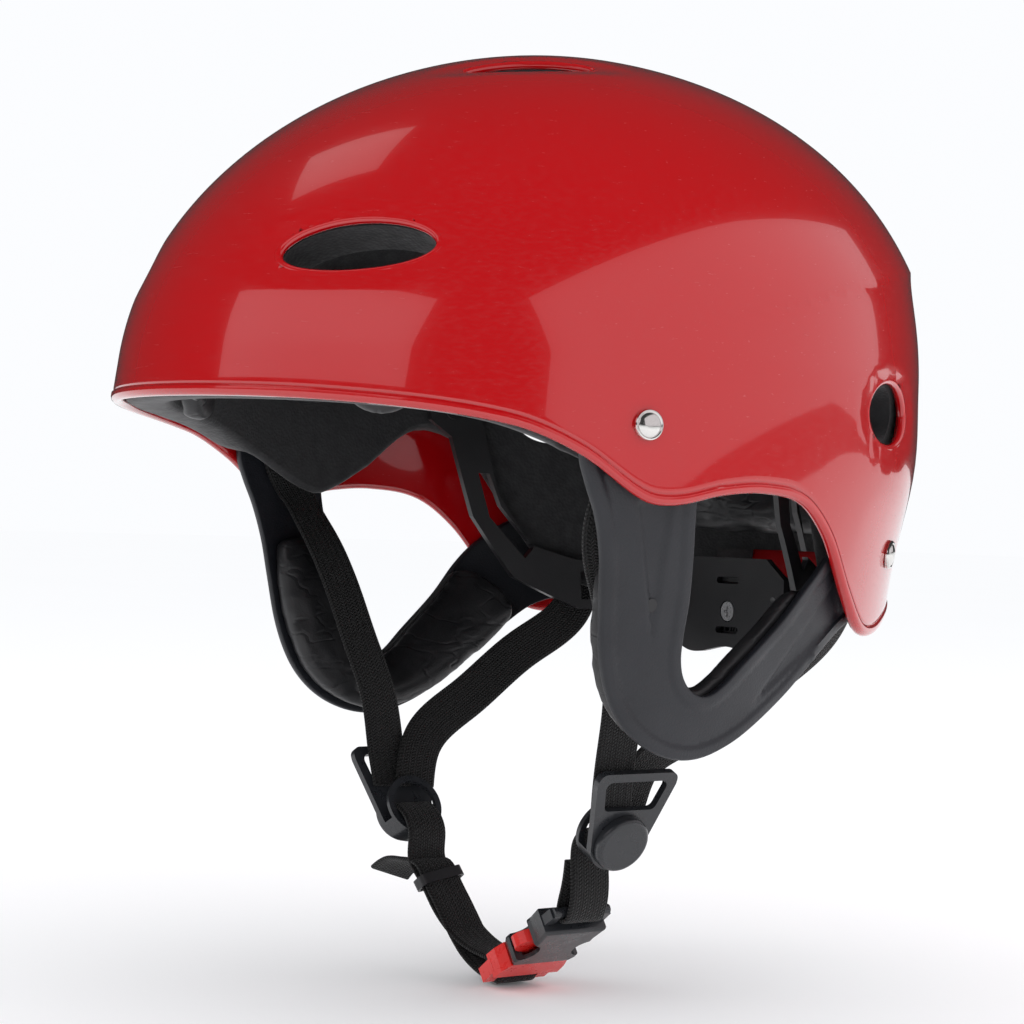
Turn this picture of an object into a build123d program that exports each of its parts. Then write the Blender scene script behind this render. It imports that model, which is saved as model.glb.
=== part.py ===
from build123d import *
from math import cos, hypot, pi, radians, sin, sqrt
import os

os.makedirs("parts", exist_ok=True)

# Frame: millimetres, +Z up, -Y the way the face looks, +X the wearer's left.
# The origin is on the mid-plane, level with the widest part of the shell.

# Shell form: a lathe quarter stretched to a front reach and a rear reach, then leaned.
half_width = 112.0
rise = 105.5
reach_front = 133.0
reach_rear = 148.4
lean = 0.15
crown_y = 14.65
lowest = -92.0
side_reach = 140.0

# Wall depths, measured in from the outer face at the widest section.
shell_thick = 3.0
liner_outer = 3.4
liner_inner = 16.0
pocket_depth = 12.0
pad_near = 16.4
pad_far = 24.0
arm_near = 18.0
arm_far = 20.2

# Rims as side-view points (y, z), front to back.
shell_rim = [(-160, -11.5), (-113, -13.7), (-71, -19.3), (-51, -27.3), (-32, -39.6), (-21, -40.9),
             (-3, -37.5), (14, -36.4), (32.5, -39.3), (46.5, -49.7), (60, -67.5), (72, -78.3),
             (84, -80.0), (100, -76), (125, -70), (165, -68)]
liner_rim = [(-160, -10.5), (-100, -13.5), (-70, -17.5), (-45, -27), (-23, -37.4), (-14, -38),
             (4, -28), (20, -15.5), (31, -13.5), (44, -20), (58, -42), (72, -62), (92, -71),
             (120, -67), (165, -64)]

# Vents: (y, z) of the centre, long and short size, and the run (x, y, z) of the long axis.
vents = [((-101.7, 30.5), 50.0, 19.0, (0.755, 0.651, 0.075)),
         ((-24.0, 95.6), 44.0, 17.0, (0.35, 0.93, -0.10)),
         ((80.5, -10.8), 32.0, 22.0, (-0.57, 0.82, 0.0))]
vent_step = 1.6
vent_reach = 30.0

# Rivets: (y, z) on the outer face, front and rear.
rivet_front = (-31.1, -19.6)
rivet_rear = (91.2, -55.5)
rivet_head = 4.6
rivet_head_high = 2.4
rivet_rim_high = 0.9
rivet_shank = 2.2
rivet_hole = 2.5
washer_radius = 4.6
washer_thick = 0.8
post_depth = 11.0
strap_depth = 8.2
washer_depth = 9.8

# Ear guards: a bent wall that hangs from the shell and leans in below a slanted fold.
guard_thick = 3.0
guard_depth = 3.5
guard_fold = -41.1
guard_tilt = -0.327
guard_lean = 0.219
guard_foot = -86.0
guard_top = 90.0
guard_bend = 55.0
pad_thick = 8.5
pad_gap = 0.35
slot_half = 2.8
slot_long = 32.0

# Webbing and the parts on it.
strap_wide = 15.0
strap_thick = 1.6
bar_wrap = 2.8

fore_aft = Vector(0, 1, 0)
tail_twist = Vector(0.15, 0, -0.4)
left, right = 1, -1


def middle_y(z):
    """Fore-and-aft place of the widest section at a height."""
    return crown_y + lean * (z - rise)


def skin(side, spot):
    """Point on the shell's outer face from its side-view place, the way out of it, and
    how much deeper a wall depth runs there than at the widest section."""
    y, z = spot
    reach = reach_front if y < middle_y(z) else reach_rear
    along = (y - middle_y(z)) / reach
    up = max(z, 0.0) / rise
    x = half_width * sqrt(1 - along**2 - up**2)
    out_y = along / reach
    way = Vector(side * x / half_width**2, out_y, up / rise - lean * out_y).normalized()
    spread = hypot(half_width * way.X, reach * way.Y) / half_width
    return Vector(side * x, y, z), way, spread


def leaned(quarter, reach, tilt, drop):
    """Stretch a lathe quarter to its reach, tilt it and lean it into the helmet."""
    stretch = reach / half_width
    slant = tilt * stretch
    shift = crown_y + lean * (drop - rise)
    return quarter.transform_geometry(
        Matrix([[1, 0, 0, 0], [0, stretch + lean * slant, lean, shift], [0, slant, 1, drop]]))


def whole_form(rear, tilt=0.0, drop=0.0):
    """Four quarters of a lathe form, stretched and joined as one solid."""
    with BuildPart() as whole:
        for quarter, reach in ((rear, reach_rear), (rear.mirror(Plane.XZ), reach_front)):
            piece = leaned(quarter, reach, tilt, drop)
            add(piece)
            add(piece.mirror(Plane.YZ))
    return whole.part


def dome_wall(outer, inner):
    """Domed wall between two depths."""
    with BuildPart() as quarter:
        with BuildSketch(Plane.XZ):
            with BuildLine():
                EllipticalCenterArc((0, 0), half_width - outer, rise - outer, arc_size=90)
                Line((0, rise - outer), (0, rise - inner))
                EllipticalCenterArc((0, 0), half_width - inner, rise - inner, arc_size=90)
                Polyline((half_width - inner, 0), (half_width - inner, lowest),
                         (half_width - outer, lowest), (half_width - outer, 0))
            make_face()
        revolve(axis=Axis.Z, revolution_arc=90)
    return whole_form(quarter.part)


def hanging_wall(depth, thick):
    """Wall that follows the shell, then leans in below the slanted fold."""
    edge = half_width - depth - thick / 2
    foot = edge + guard_lean * guard_foot
    with BuildPart() as quarter:
        with BuildSketch(Plane.XZ):
            with BuildLine():
                FilletPolyline((edge, guard_top), (edge, 0), (foot, guard_foot), radius=guard_bend)
            trace(line_width=thick)
        revolve(axis=Axis.Z, revolution_arc=90)
    return whole_form(quarter.part, guard_tilt, guard_fold)


def side_block(outline, start, end, curved=False):
    """Block with a side-view outline, from one x to another."""
    with BuildPart() as block:
        with BuildSketch(Plane.YZ.offset(start)):
            with BuildLine():
                if curved:
                    Spline(*outline, periodic=True)
                else:
                    Polyline(*outline, close=True)
            make_face()
        extrude(amount=end - start)
    return block.part


def below(rim):
    """Everything under a rim line."""
    deep = -260.0
    with BuildPart() as block:
        with BuildSketch(Plane.YZ.offset(-side_reach)):
            with BuildLine():
                Spline(*rim)
                Polyline(rim[-1], (rim[-1][0], deep), (rim[0][0], deep), rim[0])
            make_face()
        extrude(amount=2 * side_reach)
    return block.part


def vent_block(side, vent, grow):
    """Oval plug of a vent, larger all round by the growth."""
    spot, long_size, short_size, run = vent
    centre, way, _ = skin(side, spot)
    with BuildPart() as plug:
        with BuildSketch(Plane(centre, x_dir=Vector(side * run[0], run[1], run[2]), z_dir=way)):
            Ellipse(long_size / 2 + grow, short_size / 2 + grow)
        extrude(amount=vent_reach, both=True)
    return plug.part


def all_vents(grow):
    """Every vent on both sides."""
    with BuildPart() as plugs:
        for side in (left, right):
            for vent in vents:
                add(vent_block(side, vent, grow))
    return plugs.part


# ---------------------------------------------------------------- shell and liner
with BuildPart() as outer_shell:
    add(dome_wall(0, shell_thick))
    add(below(shell_rim), mode=Mode.SUBTRACT)
    add(all_vents(0), mode=Mode.SUBTRACT)
    for side in (left, right):
        for spot in (rivet_front, rivet_rear):
            centre, way, _ = skin(side, spot)
            with BuildSketch(Plane(centre, z_dir=way)):
                Circle(rivet_hole)
            extrude(amount=2 * shell_thick, both=True, mode=Mode.SUBTRACT)
outer_shell.part.label = "outer_shell"
export_step(outer_shell.part, "parts/outer_shell.step")

pocket_front = [(-56, -60), (-56, -7), (6, -7), (6, -60)]
pocket_rear = [(46, -95), (46, -40), (110, -40), (110, -95)]
pocket_front_x = 60.0
pocket_rear_x = 45.0
dial_notch = 27.0
dial_notch_top = -56.0
dial_notch_y = 130.0
dial_notch_deep = 80.0
with BuildPart() as eva_liner:
    add(dome_wall(liner_outer, liner_inner))
    add(below(liner_rim), mode=Mode.SUBTRACT)
    add(all_vents(-vent_step), mode=Mode.SUBTRACT)
    pocket_wall = dome_wall(shell_thick, pocket_depth)
    for pocket, inner_x in ((pocket_front, pocket_front_x), (pocket_rear, pocket_rear_x)):
        add(pocket_wall & side_block(pocket, inner_x, side_reach), mode=Mode.SUBTRACT)
        add(pocket_wall & side_block(pocket, -side_reach, -inner_x), mode=Mode.SUBTRACT)
    with Locations((0, dial_notch_y, dial_notch_top)):
        Box(2 * dial_notch, dial_notch_deep, dial_notch_deep,
            align=(Align.CENTER, Align.CENTER, Align.MAX), mode=Mode.SUBTRACT)
eva_liner.part.label = "eva_liner"
export_step(eva_liner.part, "parts/eva_liner.step")


# ---------------------------------------------------------------- pads inside the liner
pad_wall = dome_wall(pad_near, pad_far)


def wall_piece(wall, outline, start, end):
    """Rounded side-view piece of a wall between two x places."""
    return wall & side_block(outline, start, end, curved=True)


brow_outline = [(-150, 6), (-112, 16), (-84, 14), (-66, -2), (-78, -12), (-112, -6), (-150, -6)]
brow_pad_half = 62.0
with BuildPart() as brow_pad:
    add(wall_piece(pad_wall, brow_outline, -brow_pad_half, brow_pad_half))
brow_pad.part.label = "brow_pad"
export_step(brow_pad.part, "parts/brow_pad.step")

crown_pad_wide = 68.0
crown_pad_long = 100.0
crown_pad_corner = 24.0
crown_pad_from = 60.0
vent_clear = 1.0
with BuildPart() as crown_pad:
    with BuildSketch(Plane.XY.offset(crown_pad_from)):
        with Locations((0, 4)):
            RectangleRounded(crown_pad_wide, crown_pad_long, crown_pad_corner)
    extrude(amount=rise - crown_pad_from)
    add(pad_wall, mode=Mode.INTERSECT)
    add(all_vents(vent_clear), mode=Mode.SUBTRACT)
crown_pad.part.label = "crown_pad"
export_step(crown_pad.part, "parts/crown_pad.step")

side_outline = [(-46, 4), (-30, 30), (0, 36), (34, 28), (44, 8), (20, -2), (-14, -8), (-38, -8)]
for word, side in (("left", left), ("right", right)):
    near, far = sorted((side * 60, side * side_reach))
    with BuildPart() as pad:
        add(wall_piece(pad_wall, side_outline, near, far))
    pad.part.label = f"side_pad_{word}"
    export_step(pad.part, f"parts/side_pad_{word}.step")

nape_outline = [(78, -42), (88, -14), (104, 0), (150, 6), (150, -48), (104, -50)]
nape_pad_half = 58.0
with BuildPart() as nape_pad:
    add(wall_piece(pad_wall, nape_outline, -nape_pad_half, nape_pad_half))
nape_pad.part.label = "nape_pad"
export_step(nape_pad.part, "parts/nape_pad.step")

# ---------------------------------------------------------------- rivets and washers
with BuildPart() as shell_rivets:
    for side in (left, right):
        for spot in (rivet_front, rivet_rear):
            centre, way, spread = skin(side, spot)
            with BuildSketch(Plane(centre, z_dir=way)):
                Circle(rivet_shank)
            extrude(amount=-post_depth * spread)
            with BuildSketch(Plane(centre, z_dir=way)):
                Circle(rivet_head)
            extrude(amount=rivet_rim_high)
            with Locations(Location(Plane(centre + way * rivet_rim_high, z_dir=way))):
                Cone(rivet_head - 0.4, rivet_head * 0.45, rivet_head_high - rivet_rim_high,
                     align=(Align.CENTER, Align.CENTER, Align.MIN))
shell_rivets.part.label = "shell_rivets"
export_step(shell_rivets.part, "parts/shell_rivets.step")

with BuildPart() as rivet_washers:
    for side in (left, right):
        for spot in (rivet_front, rivet_rear):
            centre, way, spread = skin(side, spot)
            with BuildSketch(Plane(centre - way * washer_depth * spread, z_dir=way)):
                Circle(washer_radius)
                Circle(rivet_shank + 0.1, mode=Mode.SUBTRACT)
            extrude(amount=-washer_thick)
rivet_washers.part.label = "rivet_washers"
export_step(rivet_washers.part, "parts/rivet_washers.step")

# ---------------------------------------------------------------- ear guards and pads
guard_outer = [(-44, -10), (-47.5, -15), (-48, -29), (-45.5, -36.5), (-41.6, -45.5), (-38.4, -57),
               (-36.6, -70), (-34.4, -85.5), (-31.4, -95.5), (-27.5, -103), (-22.3, -109.1),
               (-16, -113.8), (-7.9, -117.4), (0.5, -119.1), (8.9, -118.6), (17.3, -116),
               (25.7, -112), (43, -100.3), (61.1, -85.2), (70.5, -79), (82, -75.5), (96, -72.5),
               (102.5, -66), (103, -56), (98, -45), (84, -43.5), (66, -47.5), (53, -56),
               (43.6, -65), (34, -76), (18.9, -90), (12.7, -95.8), (8.1, -98.8), (4.1, -99.4),
               (-0.4, -97.7), (-4.3, -93.8), (-6.4, -88.5), (-7, -82), (-7, -70), (-8.3, -56),
               (-9.6, -46), (-10.6, -30), (-10.8, -15), (-14, -10), (-29, -8.8)]
pad_outline = [(-34.5, -60), (-35, -71), (-32.8, -85), (-29.8, -94.7), (-26.1, -101.8),
               (-21.2, -107.6), (-15.2, -112.1), (-7.5, -115.5), (0.5, -117.2), (8.6, -116.7),
               (16.6, -114.2), (24.8, -110.3), (41.8, -98.8), (54, -88.6), (58.5, -82),
               (56, -75.5), (50, -69.5), (43.5, -66.8), (33, -74.5), (18, -88), (11.8, -93.8),
               (7.6, -96.7), (4.1, -97.2), (0.6, -95.8), (-2.4, -92.6), (-4.4, -87.8),
               (-4.9, -82), (-4.9, -70), (-6.4, -61), (-11, -57), (-26, -56.5), (-32, -57.5)]
guard_wall = hanging_wall(guard_depth, guard_thick)
pad_slab = hanging_wall(guard_depth + guard_thick + pad_gap, pad_thick)
stud_spots = [(-20, -72), (-16, -100), (20, -101)]
stud_radius = 2.0
stud_cover = 1.0
stud_wall = hanging_wall(guard_depth + stud_cover, guard_thick - stud_cover)
stud_hole_wall = hanging_wall(guard_depth + stud_cover, guard_thick)


def stud_pins(side, radius):
    """Round bars across the guard at the stud places."""
    with BuildPart() as pins:
        with BuildSketch(Plane.YZ.offset(side * 40)):
            with Locations(*stud_spots):
                Circle(radius)
        extrude(amount=side * 90)
    return pins.part


for word, side in (("left", left), ("right", right)):
    near, far = sorted((side * 40, side * side_reach))
    with BuildPart() as guard:
        add(wall_piece(guard_wall, guard_outer, near, far))
        for spot in (rivet_front, rivet_rear):
            centre, way, _ = skin(side, spot)
            with BuildSketch(Plane(centre, x_dir=Vector(0, lean, 1), z_dir=way)):
                Circle(slot_half)
                Rectangle(slot_long, 2 * slot_half, align=(Align.MIN, Align.CENTER))
            extrude(amount=-14, mode=Mode.SUBTRACT)
        add(stud_pins(side, stud_radius + 0.2) & stud_hole_wall, mode=Mode.SUBTRACT)
    guard.part.label = f"ear_guard_{word}"
    export_step(guard.part, f"parts/ear_guard_{word}.step")
    with BuildPart() as pad:
        add(wall_piece(pad_slab, pad_outline, near, far))
    pad.part.label = f"ear_pad_{word}"
    export_step(pad.part, f"parts/ear_pad_{word}.step")
    with BuildPart() as studs:
        add(stud_pins(side, stud_radius) & stud_wall)
    studs.part.label = f"ear_pad_studs_{word}"
    export_step(studs.part, f"parts/ear_pad_studs_{word}.step")

# ---------------------------------------------------------------- fit system at the nape
arm_outline = [(26, -3), (42, -3), (46, -14), (51, -38), (62, -57), (76, -62), (93.5, -62),
               (93.5, -80), (76, -80), (56, -69), (42, -47), (34, -18), (26, -12)]
arm_slot = [(44, -31), (48, -31), (52, -43), (63, -58), (60, -62), (48, -47)]
frame_window = [(77, -66.2), (90, -66.2), (90, -76.6), (77, -76.6)]
peg_spot = (34, -7.5)
peg_radius = 2.6
arm_wall = dome_wall(arm_near, arm_far)
for word, side in (("left", left), ("right", right)):
    near, far = sorted((side * 45, side * side_reach))
    with BuildPart() as arm:
        add(arm_wall & side_block(arm_outline, near, far))
        add(side_block(arm_slot, near, far), mode=Mode.SUBTRACT)
        add(side_block(frame_window, near, far), mode=Mode.SUBTRACT)
        with BuildSketch(Plane.YZ.offset(side * 60)):
            with Locations(peg_spot):
                Circle(peg_radius + 0.3)
        extrude(amount=side * 60, mode=Mode.SUBTRACT)
    arm.part.label = f"band_arm_{word}"
    export_step(arm.part, f"parts/band_arm_{word}.step")

peg_head = 4.2
peg_face = 86.3
with BuildPart() as band_arm_pegs:
    for side in (left, right):
        with BuildSketch(Plane.YZ.offset(side * (peg_face - 1.4))):
            with Locations(peg_spot):
                Circle(peg_head)
        extrude(amount=side * 1.4)
        with BuildSketch(Plane.YZ.offset(side * peg_face)):
            with Locations(peg_spot):
                Circle(peg_radius)
        extrude(amount=side * 4.6)
band_arm_pegs.part.label = "band_arm_pegs"
export_step(band_arm_pegs.part, "parts/band_arm_pegs.step")

dial_z = -78.0
plate_face = 94.6
plate_thick = 2.4
plate_half = 29.5
housing_half = 20.0
housing_high = 24.0
housing_deep = 9.5
housing_wall = 1.6
screw_head = 3.4
screw_shank = 1.5
channel_from = plate_face + plate_thick + 0.5
rack_thick = 2.6
pinion_tip = 6.6
pinion_root = 4.6
tooth_pitch = 3.0
tooth_count = 12
pitch_radius = tooth_pitch * tooth_count / (2 * pi)
rack_near = 7.0
rack_far = 10.2
band_low, band_high = -75.4, -67.6
housing_back = plate_face + plate_thick + housing_deep

with BuildPart() as nape_cradle:
    with BuildSketch(Plane.XZ.offset(-plate_face)):
        with BuildLine():
            Polyline((plate_half, dial_z - 10), (plate_half, dial_z + 12), (20, dial_z + 19),
                     (-20, dial_z + 19), (-plate_half, dial_z + 12), (-plate_half, dial_z - 10))
            Spline((-plate_half, dial_z - 10), (-18, dial_z - 15), (0, dial_z - 12.5),
                   (18, dial_z - 15), (plate_half, dial_z - 10))
        make_face()
        with Locations((0, dial_z + 11), (0, dial_z - 6.6)):
            SlotOverall(12, 2.4, mode=Mode.SUBTRACT)
        with Locations((24, dial_z), (-24, dial_z)):
            SlotOverall(12, 3, rotation=90, mode=Mode.SUBTRACT)
        with Locations((0, dial_z)):
            Circle(screw_shank + 0.3, mode=Mode.SUBTRACT)
    extrude(amount=-plate_thick)
    with BuildSketch(Plane.XZ.offset(-plate_face)):
        with Locations((0, dial_z)):
            Circle(screw_head + 0.4)
    extrude(amount=-1.3, mode=Mode.SUBTRACT)
nape_cradle.part.label = "nape_cradle"
export_step(nape_cradle.part, "parts/nape_cradle.step")

with BuildPart() as dial_housing:
    with Locations((0, plate_face + plate_thick + 0.1, dial_z)):
        Box(2 * housing_half, housing_deep, housing_high,
            align=(Align.CENTER, Align.MIN, Align.CENTER))
    fillet(dial_housing.edges().filter_by(Axis.Y), 4)
    with Locations((0, plate_face + plate_thick, dial_z)):
        Box(2 * (housing_half - housing_wall), housing_deep - housing_wall,
            housing_high - 2 * housing_wall, align=(Align.CENTER, Align.MIN, Align.CENTER),
            mode=Mode.SUBTRACT)
        Box(3 * housing_half, rack_thick + 1.2, housing_high - 2 * housing_wall,
            align=(Align.CENTER, Align.MIN, Align.CENTER), mode=Mode.SUBTRACT)
    with BuildSketch(Plane.XZ.offset(-plate_face)):
        with Locations((0, dial_z)):
            Circle(4.0)
    extrude(amount=-30, mode=Mode.SUBTRACT)
dial_housing.part.label = "dial_housing"
export_step(dial_housing.part, "parts/dial_housing.step")

knob_radius = 14.5
knob_thick = 9.0
knob_face = housing_back + 0.5
pinion_from = channel_from
pinion_thick = rack_thick
with BuildPart() as dial_knob:
    with BuildSketch(Plane.XZ.offset(-knob_face)):
        with Locations((0, dial_z)):
            Circle(knob_radius)
            with PolarLocations(knob_radius + 1.2, 16):
                Circle(2.0, mode=Mode.SUBTRACT)
    extrude(amount=-knob_thick)
    with BuildSketch(Plane.XZ.offset(-(pinion_from + pinion_thick + 0.1))):
        with Locations((0, dial_z)):
            Circle(3.6)
    extrude(amount=-(knob_face - pinion_from - pinion_thick))
    with BuildSketch(Plane.XZ.offset(-plate_face)):
        with Locations((0, dial_z)):
            Circle(screw_shank + 0.05)
    extrude(amount=-(knob_face - plate_face + 5), mode=Mode.SUBTRACT)
dial_knob.part.label = "dial_knob"
export_step(dial_knob.part, "parts/dial_knob.step")

with BuildPart() as dial_pinion:
    with BuildSketch(Plane.XZ.offset(-pinion_from)):
        with Locations((0, dial_z)):
            Circle(pinion_root)
            with PolarLocations((pinion_root + pinion_tip) / 2 - 0.1, tooth_count):
                Trapezoid(1.8, pinion_tip - pinion_root + 0.4, 72, rotation=-90)
            Circle(screw_shank + 0.05, mode=Mode.SUBTRACT)
    extrude(amount=-pinion_thick)
dial_pinion.part.label = "dial_pinion"
export_step(dial_pinion.part, "parts/dial_pinion.step")

with BuildPart() as dial_screw:
    with BuildSketch(Plane.XZ.offset(-(plate_face + 0.1))):
        with Locations((0, dial_z)):
            Circle(screw_head)
    extrude(amount=-1.1)
    with BuildSketch(Plane.XZ.offset(-(plate_face + 0.1))):
        with Locations((0, dial_z)):
            Circle(screw_shank)
    extrude(amount=-(knob_face - plate_face + 4))
    with BuildSketch(Plane.XZ.offset(-(plate_face + 0.1))):
        with Locations((0, dial_z)):
            Rectangle(3.6, 0.9)
            Rectangle(0.9, 3.6)
    extrude(amount=-0.8, mode=Mode.SUBTRACT)
dial_screw.part.label = "dial_screw"
export_step(dial_screw.part, "parts/dial_screw.step")

tongue = [(38, 96.8), (46.8, 90.0), (57.0, 80.4)]
for word, side, level in (("left", left, 1), ("right", right, -1)):
    bar_mid = dial_z + level * (rack_near + rack_far) / 2
    rack_mid = channel_from + rack_thick / 2
    teeth = [side * (i + 0.5) * tooth_pitch for i in range(-3, 4)]
    with BuildPart() as rack:
        with BuildSketch(Plane.XZ.offset(-channel_from)):
            with Locations((side * 9, bar_mid)):
                Rectangle(40, rack_far - rack_near)
            with Locations(*[(x, dial_z + level * (rack_near - 0.55)) for x in teeth]):
                Rectangle(1.0, 1.5)
            low = min(band_low, bar_mid - 1.6)
            with Locations((side * 31.5, (low + band_high) / 2)):
                Rectangle(8, band_high - low)
        extrude(amount=-rack_thick)
        with BuildSketch(Plane.XY.offset(band_low)):
            with BuildLine():
                Spline((side * 33, rack_mid), *[(side * x, y) for x, y in tongue],
                       tangents=[(side, 0), (side * 0.7, -0.7)])
            trace(line_width=1.8)
        extrude(amount=band_high - band_low)
    rack.part.label = f"rack_{word}"
    export_step(rack.part, f"parts/rack_{word}.step")

# ---------------------------------------------------------------- harness webbing
divider_left = Vector(59, 5, -136)
divider_right = Vector(-58, -4, -139.5)
out_left = Vector(0.907, 0, -0.42)
out_right = Vector(-0.88, 0, -0.475)
boss_drop = 12.0
boss_radius = 10.5
boss_hole = 8.3
plate_deep = 2.4
layer_front = -1.25
layer_rear = -3.6
chin_layer = -9.2
ring_drop = -6.4
ring_thick = 1.6
window_half = [(12.5, 9.6), (9.8, -0.8)]


def webbing(way, steps, facing=None, far_end=None, twist_from=1.0):
    """Flat webbing along a route. Its broad face turns from one direction to another, or
    stays square to the fore-and-aft line, with a twisted tail from a share of the length."""
    with BuildPart() as strip:
        for i in range(steps + 1):
            u = i / steps
            ahead = way % u
            turned = max(u - twist_from, 0.0) / max(1.0 - twist_from, 0.01)
            across = fore_aft + tail_twist * turned
            if facing:
                across = (facing * (1 - u) + far_end * u).cross(ahead)
            with BuildSketch(Plane(way @ u, x_dir=across, z_dir=ahead)):
                Rectangle(strap_wide, strap_thick)
        loft(ruled=True)
    return strip.part


def mirrored(points):
    """Outline closed by its mirror image across the centre line."""
    return points + [(-x, y) for x, y in reversed(points)]


def on_plane(plane, x, y, z):
    """A place given in a plane's own x, y and height."""
    return plane.from_local_coords(Vector(x, y, z))


divider_plane = {"left": Plane(divider_left, x_dir=fore_aft, z_dir=out_left),
                 "right": Plane(divider_right, x_dir=-fore_aft, z_dir=out_right)}
front_route = {"left": [(93.5, -33, -49), (81, -21, -66), (69, -5, -100)],
               "right": [(-100.3, -24.5, -39.5), (-94, -22.5, -48), (-85, -20.1, -59.7),
                         (-78, -16.2, -75.4), (-71, -12.8, -93), (-65, -8.6, -111.6)]}
rear_route = {"left": [(72, 83, -74), (69.5, 62, -93), (65.5, 28, -113)],
              "right": [(-72, 81.5, -77), (-69.5, 57, -94.5), (-66, 29, -112.5)]}
turn_aside = {"front": {"left": 7.0, "right": 3.5}, "rear": {"left": 7.0, "right": 10.0}}
for word, side in (("left", left), ("right", right)):
    plane = divider_plane[word]
    for kind, spot, route, layer, lean_in in (
            ("front", rivet_front, front_route[word], layer_front, 0.30),
            ("rear", rivet_rear, rear_route[word], layer_rear, 0.12)):
        centre, way, spread = skin(side, spot)
        hung = centre - way * strap_depth * spread
        down = Vector(0, -lean, -1) - way * lean_in * 0.2
        ahead = 1 if (kind == "front") == (word == "left") else -1
        end = on_plane(plane, -4.0 * ahead, -3.0, layer)
        turn = on_plane(plane, -turn_aside[kind][word] * ahead, 11.0, layer - 1.0)
        with BuildLine() as run:
            Spline(hung - down * 6.5, hung + down * 7, *route, turn, end)
        with BuildPart() as strap:
            add(webbing(run.line, 22, way, plane.z_dir))
            with BuildSketch(Plane(centre, z_dir=way)):
                Circle(rivet_hole + 0.2)
            extrude(amount=-16 * spread, mode=Mode.SUBTRACT)
        strap.part.label = f"{kind}_strap_{word}"
        export_step(strap.part, f"parts/{kind}_strap_{word}.step")

cap_radius = 9.5
for word in ("left", "right"):
    plane = divider_plane[word]
    with BuildPart() as divider:
        with BuildSketch(plane):
            with BuildSketch(mode=Mode.PRIVATE) as corners:
                with Locations((0, 9)):
                    RectangleRounded(31, 7, 3)
                with Locations((0, -boss_drop)):
                    Circle(boss_radius)
            make_hull(corners.sketch.edges())
            with BuildSketch(mode=Mode.PRIVATE) as opening:
                Polygon(*mirrored(window_half), align=None)
                fillet(opening.vertices(), 2.2)
            add(opening.sketch, mode=Mode.SUBTRACT)
            with Locations((0, -boss_drop)):
                Circle(3.3, mode=Mode.SUBTRACT)
        extrude(amount=plate_deep)
        with BuildSketch(plane.offset(ring_drop)):
            with Locations((0, -boss_drop)):
                Circle(boss_radius)
                Circle(boss_hole, mode=Mode.SUBTRACT)
        extrude(amount=ring_thick)
        with BuildSketch(plane.offset(ring_drop)):
            with Locations((0, -boss_drop)):
                Circle(boss_radius)
                Circle(boss_hole + 0.3, mode=Mode.SUBTRACT)
            with Locations((0, -boss_drop - 4)):
                Rectangle(40, 60, align=(Align.CENTER, Align.MIN), mode=Mode.SUBTRACT)
        extrude(amount=0.1 - ring_drop)
    divider.part.label = f"strap_divider_{word}"
    export_step(divider.part, f"parts/strap_divider_{word}.step")
    with BuildPart() as cap:
        with BuildSketch(plane.offset(plate_deep + 0.2)):
            with Locations((0, -boss_drop)):
                Circle(cap_radius)
        extrude(amount=3.2)
        fillet(cap.faces().sort_by(Axis(plane.origin, plane.z_dir))[-1].edges(), 1.6)
        with BuildSketch(plane.offset(0.6)):
            with Locations((0, -boss_drop)):
                Circle(3.0)
        extrude(amount=plate_deep)
    cap.part.label = f"divider_cap_{word}"
    export_step(cap.part, f"parts/divider_cap_{word}.step")

# ---------------------------------------------------------------- buckle
buckle_slope = radians(35)
mouth = Vector(13.9, 5, -189)
out_of_mouth = Vector(-cos(buckle_slope), 0, -sin(buckle_slope))
broad_face = Vector(sin(buckle_slope), 0, -cos(buckle_slope))
buckle = Plane(mouth, x_dir=fore_aft, z_dir=broad_face)
body_long = 23.5
body_thick = 9.6
cavity_half = 9.9
cavity_high = 6.8
bar_radius = 1.7
bar_y = 28.6
plug_bar_y = -15.0


def buckle_slab(outline, low, high):
    """Solid from a plan outline in the buckle's plane, between two heights."""
    with BuildPart() as slab:
        with BuildSketch(buckle.offset(low)):
            with BuildLine():
                Polyline(*outline, close=True)
            make_face()
        extrude(amount=high - low)
    return slab.part


def cross_bar(y):
    """Round bar that webbing wraps, across the buckle."""
    with BuildPart() as bar:
        with BuildSketch(Plane(on_plane(buckle, -11, y, 0), z_dir=fore_aft)):
            Circle(bar_radius)
        extrude(amount=22)
    return bar.part


half_body = [(11.0, 0.3), (12.5, 3), (12.2, 9), (11.3, 17), (12.2, body_long)]
window_spot = (12.4, 10)
window_radius = 5.2
with BuildPart() as buckle_body:
    add(buckle_slab(mirrored(half_body), -body_thick / 2, body_thick / 2))
    fillet(buckle_body.faces().sort_by(Axis(mouth, broad_face))[-1].edges(), 1.2)
    fillet(buckle_body.faces().sort_by(Axis(mouth, broad_face))[0].edges(), 1.2)
    frame_half = [(11.9, body_long - 1.5), (11.6, bar_y)]
    add(buckle_slab(mirrored(frame_half), -bar_radius, bar_radius))
    gap_half = [(strap_wide / 2 + 0.8, body_long + 0.1), (strap_wide / 2 + 0.8, bar_y + 4)]
    add(buckle_slab(mirrored(gap_half), -8, 8), mode=Mode.SUBTRACT)
    add(cross_bar(bar_y))
    cavity = [(cavity_half, -1), (cavity_half, 19.2)]
    add(buckle_slab(mirrored(cavity), -cavity_high / 2, cavity_high / 2), mode=Mode.SUBTRACT)
    with BuildSketch(buckle.offset(-body_thick)):
        with Locations(window_spot, (-window_spot[0], window_spot[1])):
            Circle(window_radius)
    extrude(amount=2 * body_thick, mode=Mode.SUBTRACT)
buckle_body.part.label = "buckle_body"
export_step(buckle_body.part, "parts/buckle_body.step")

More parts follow.
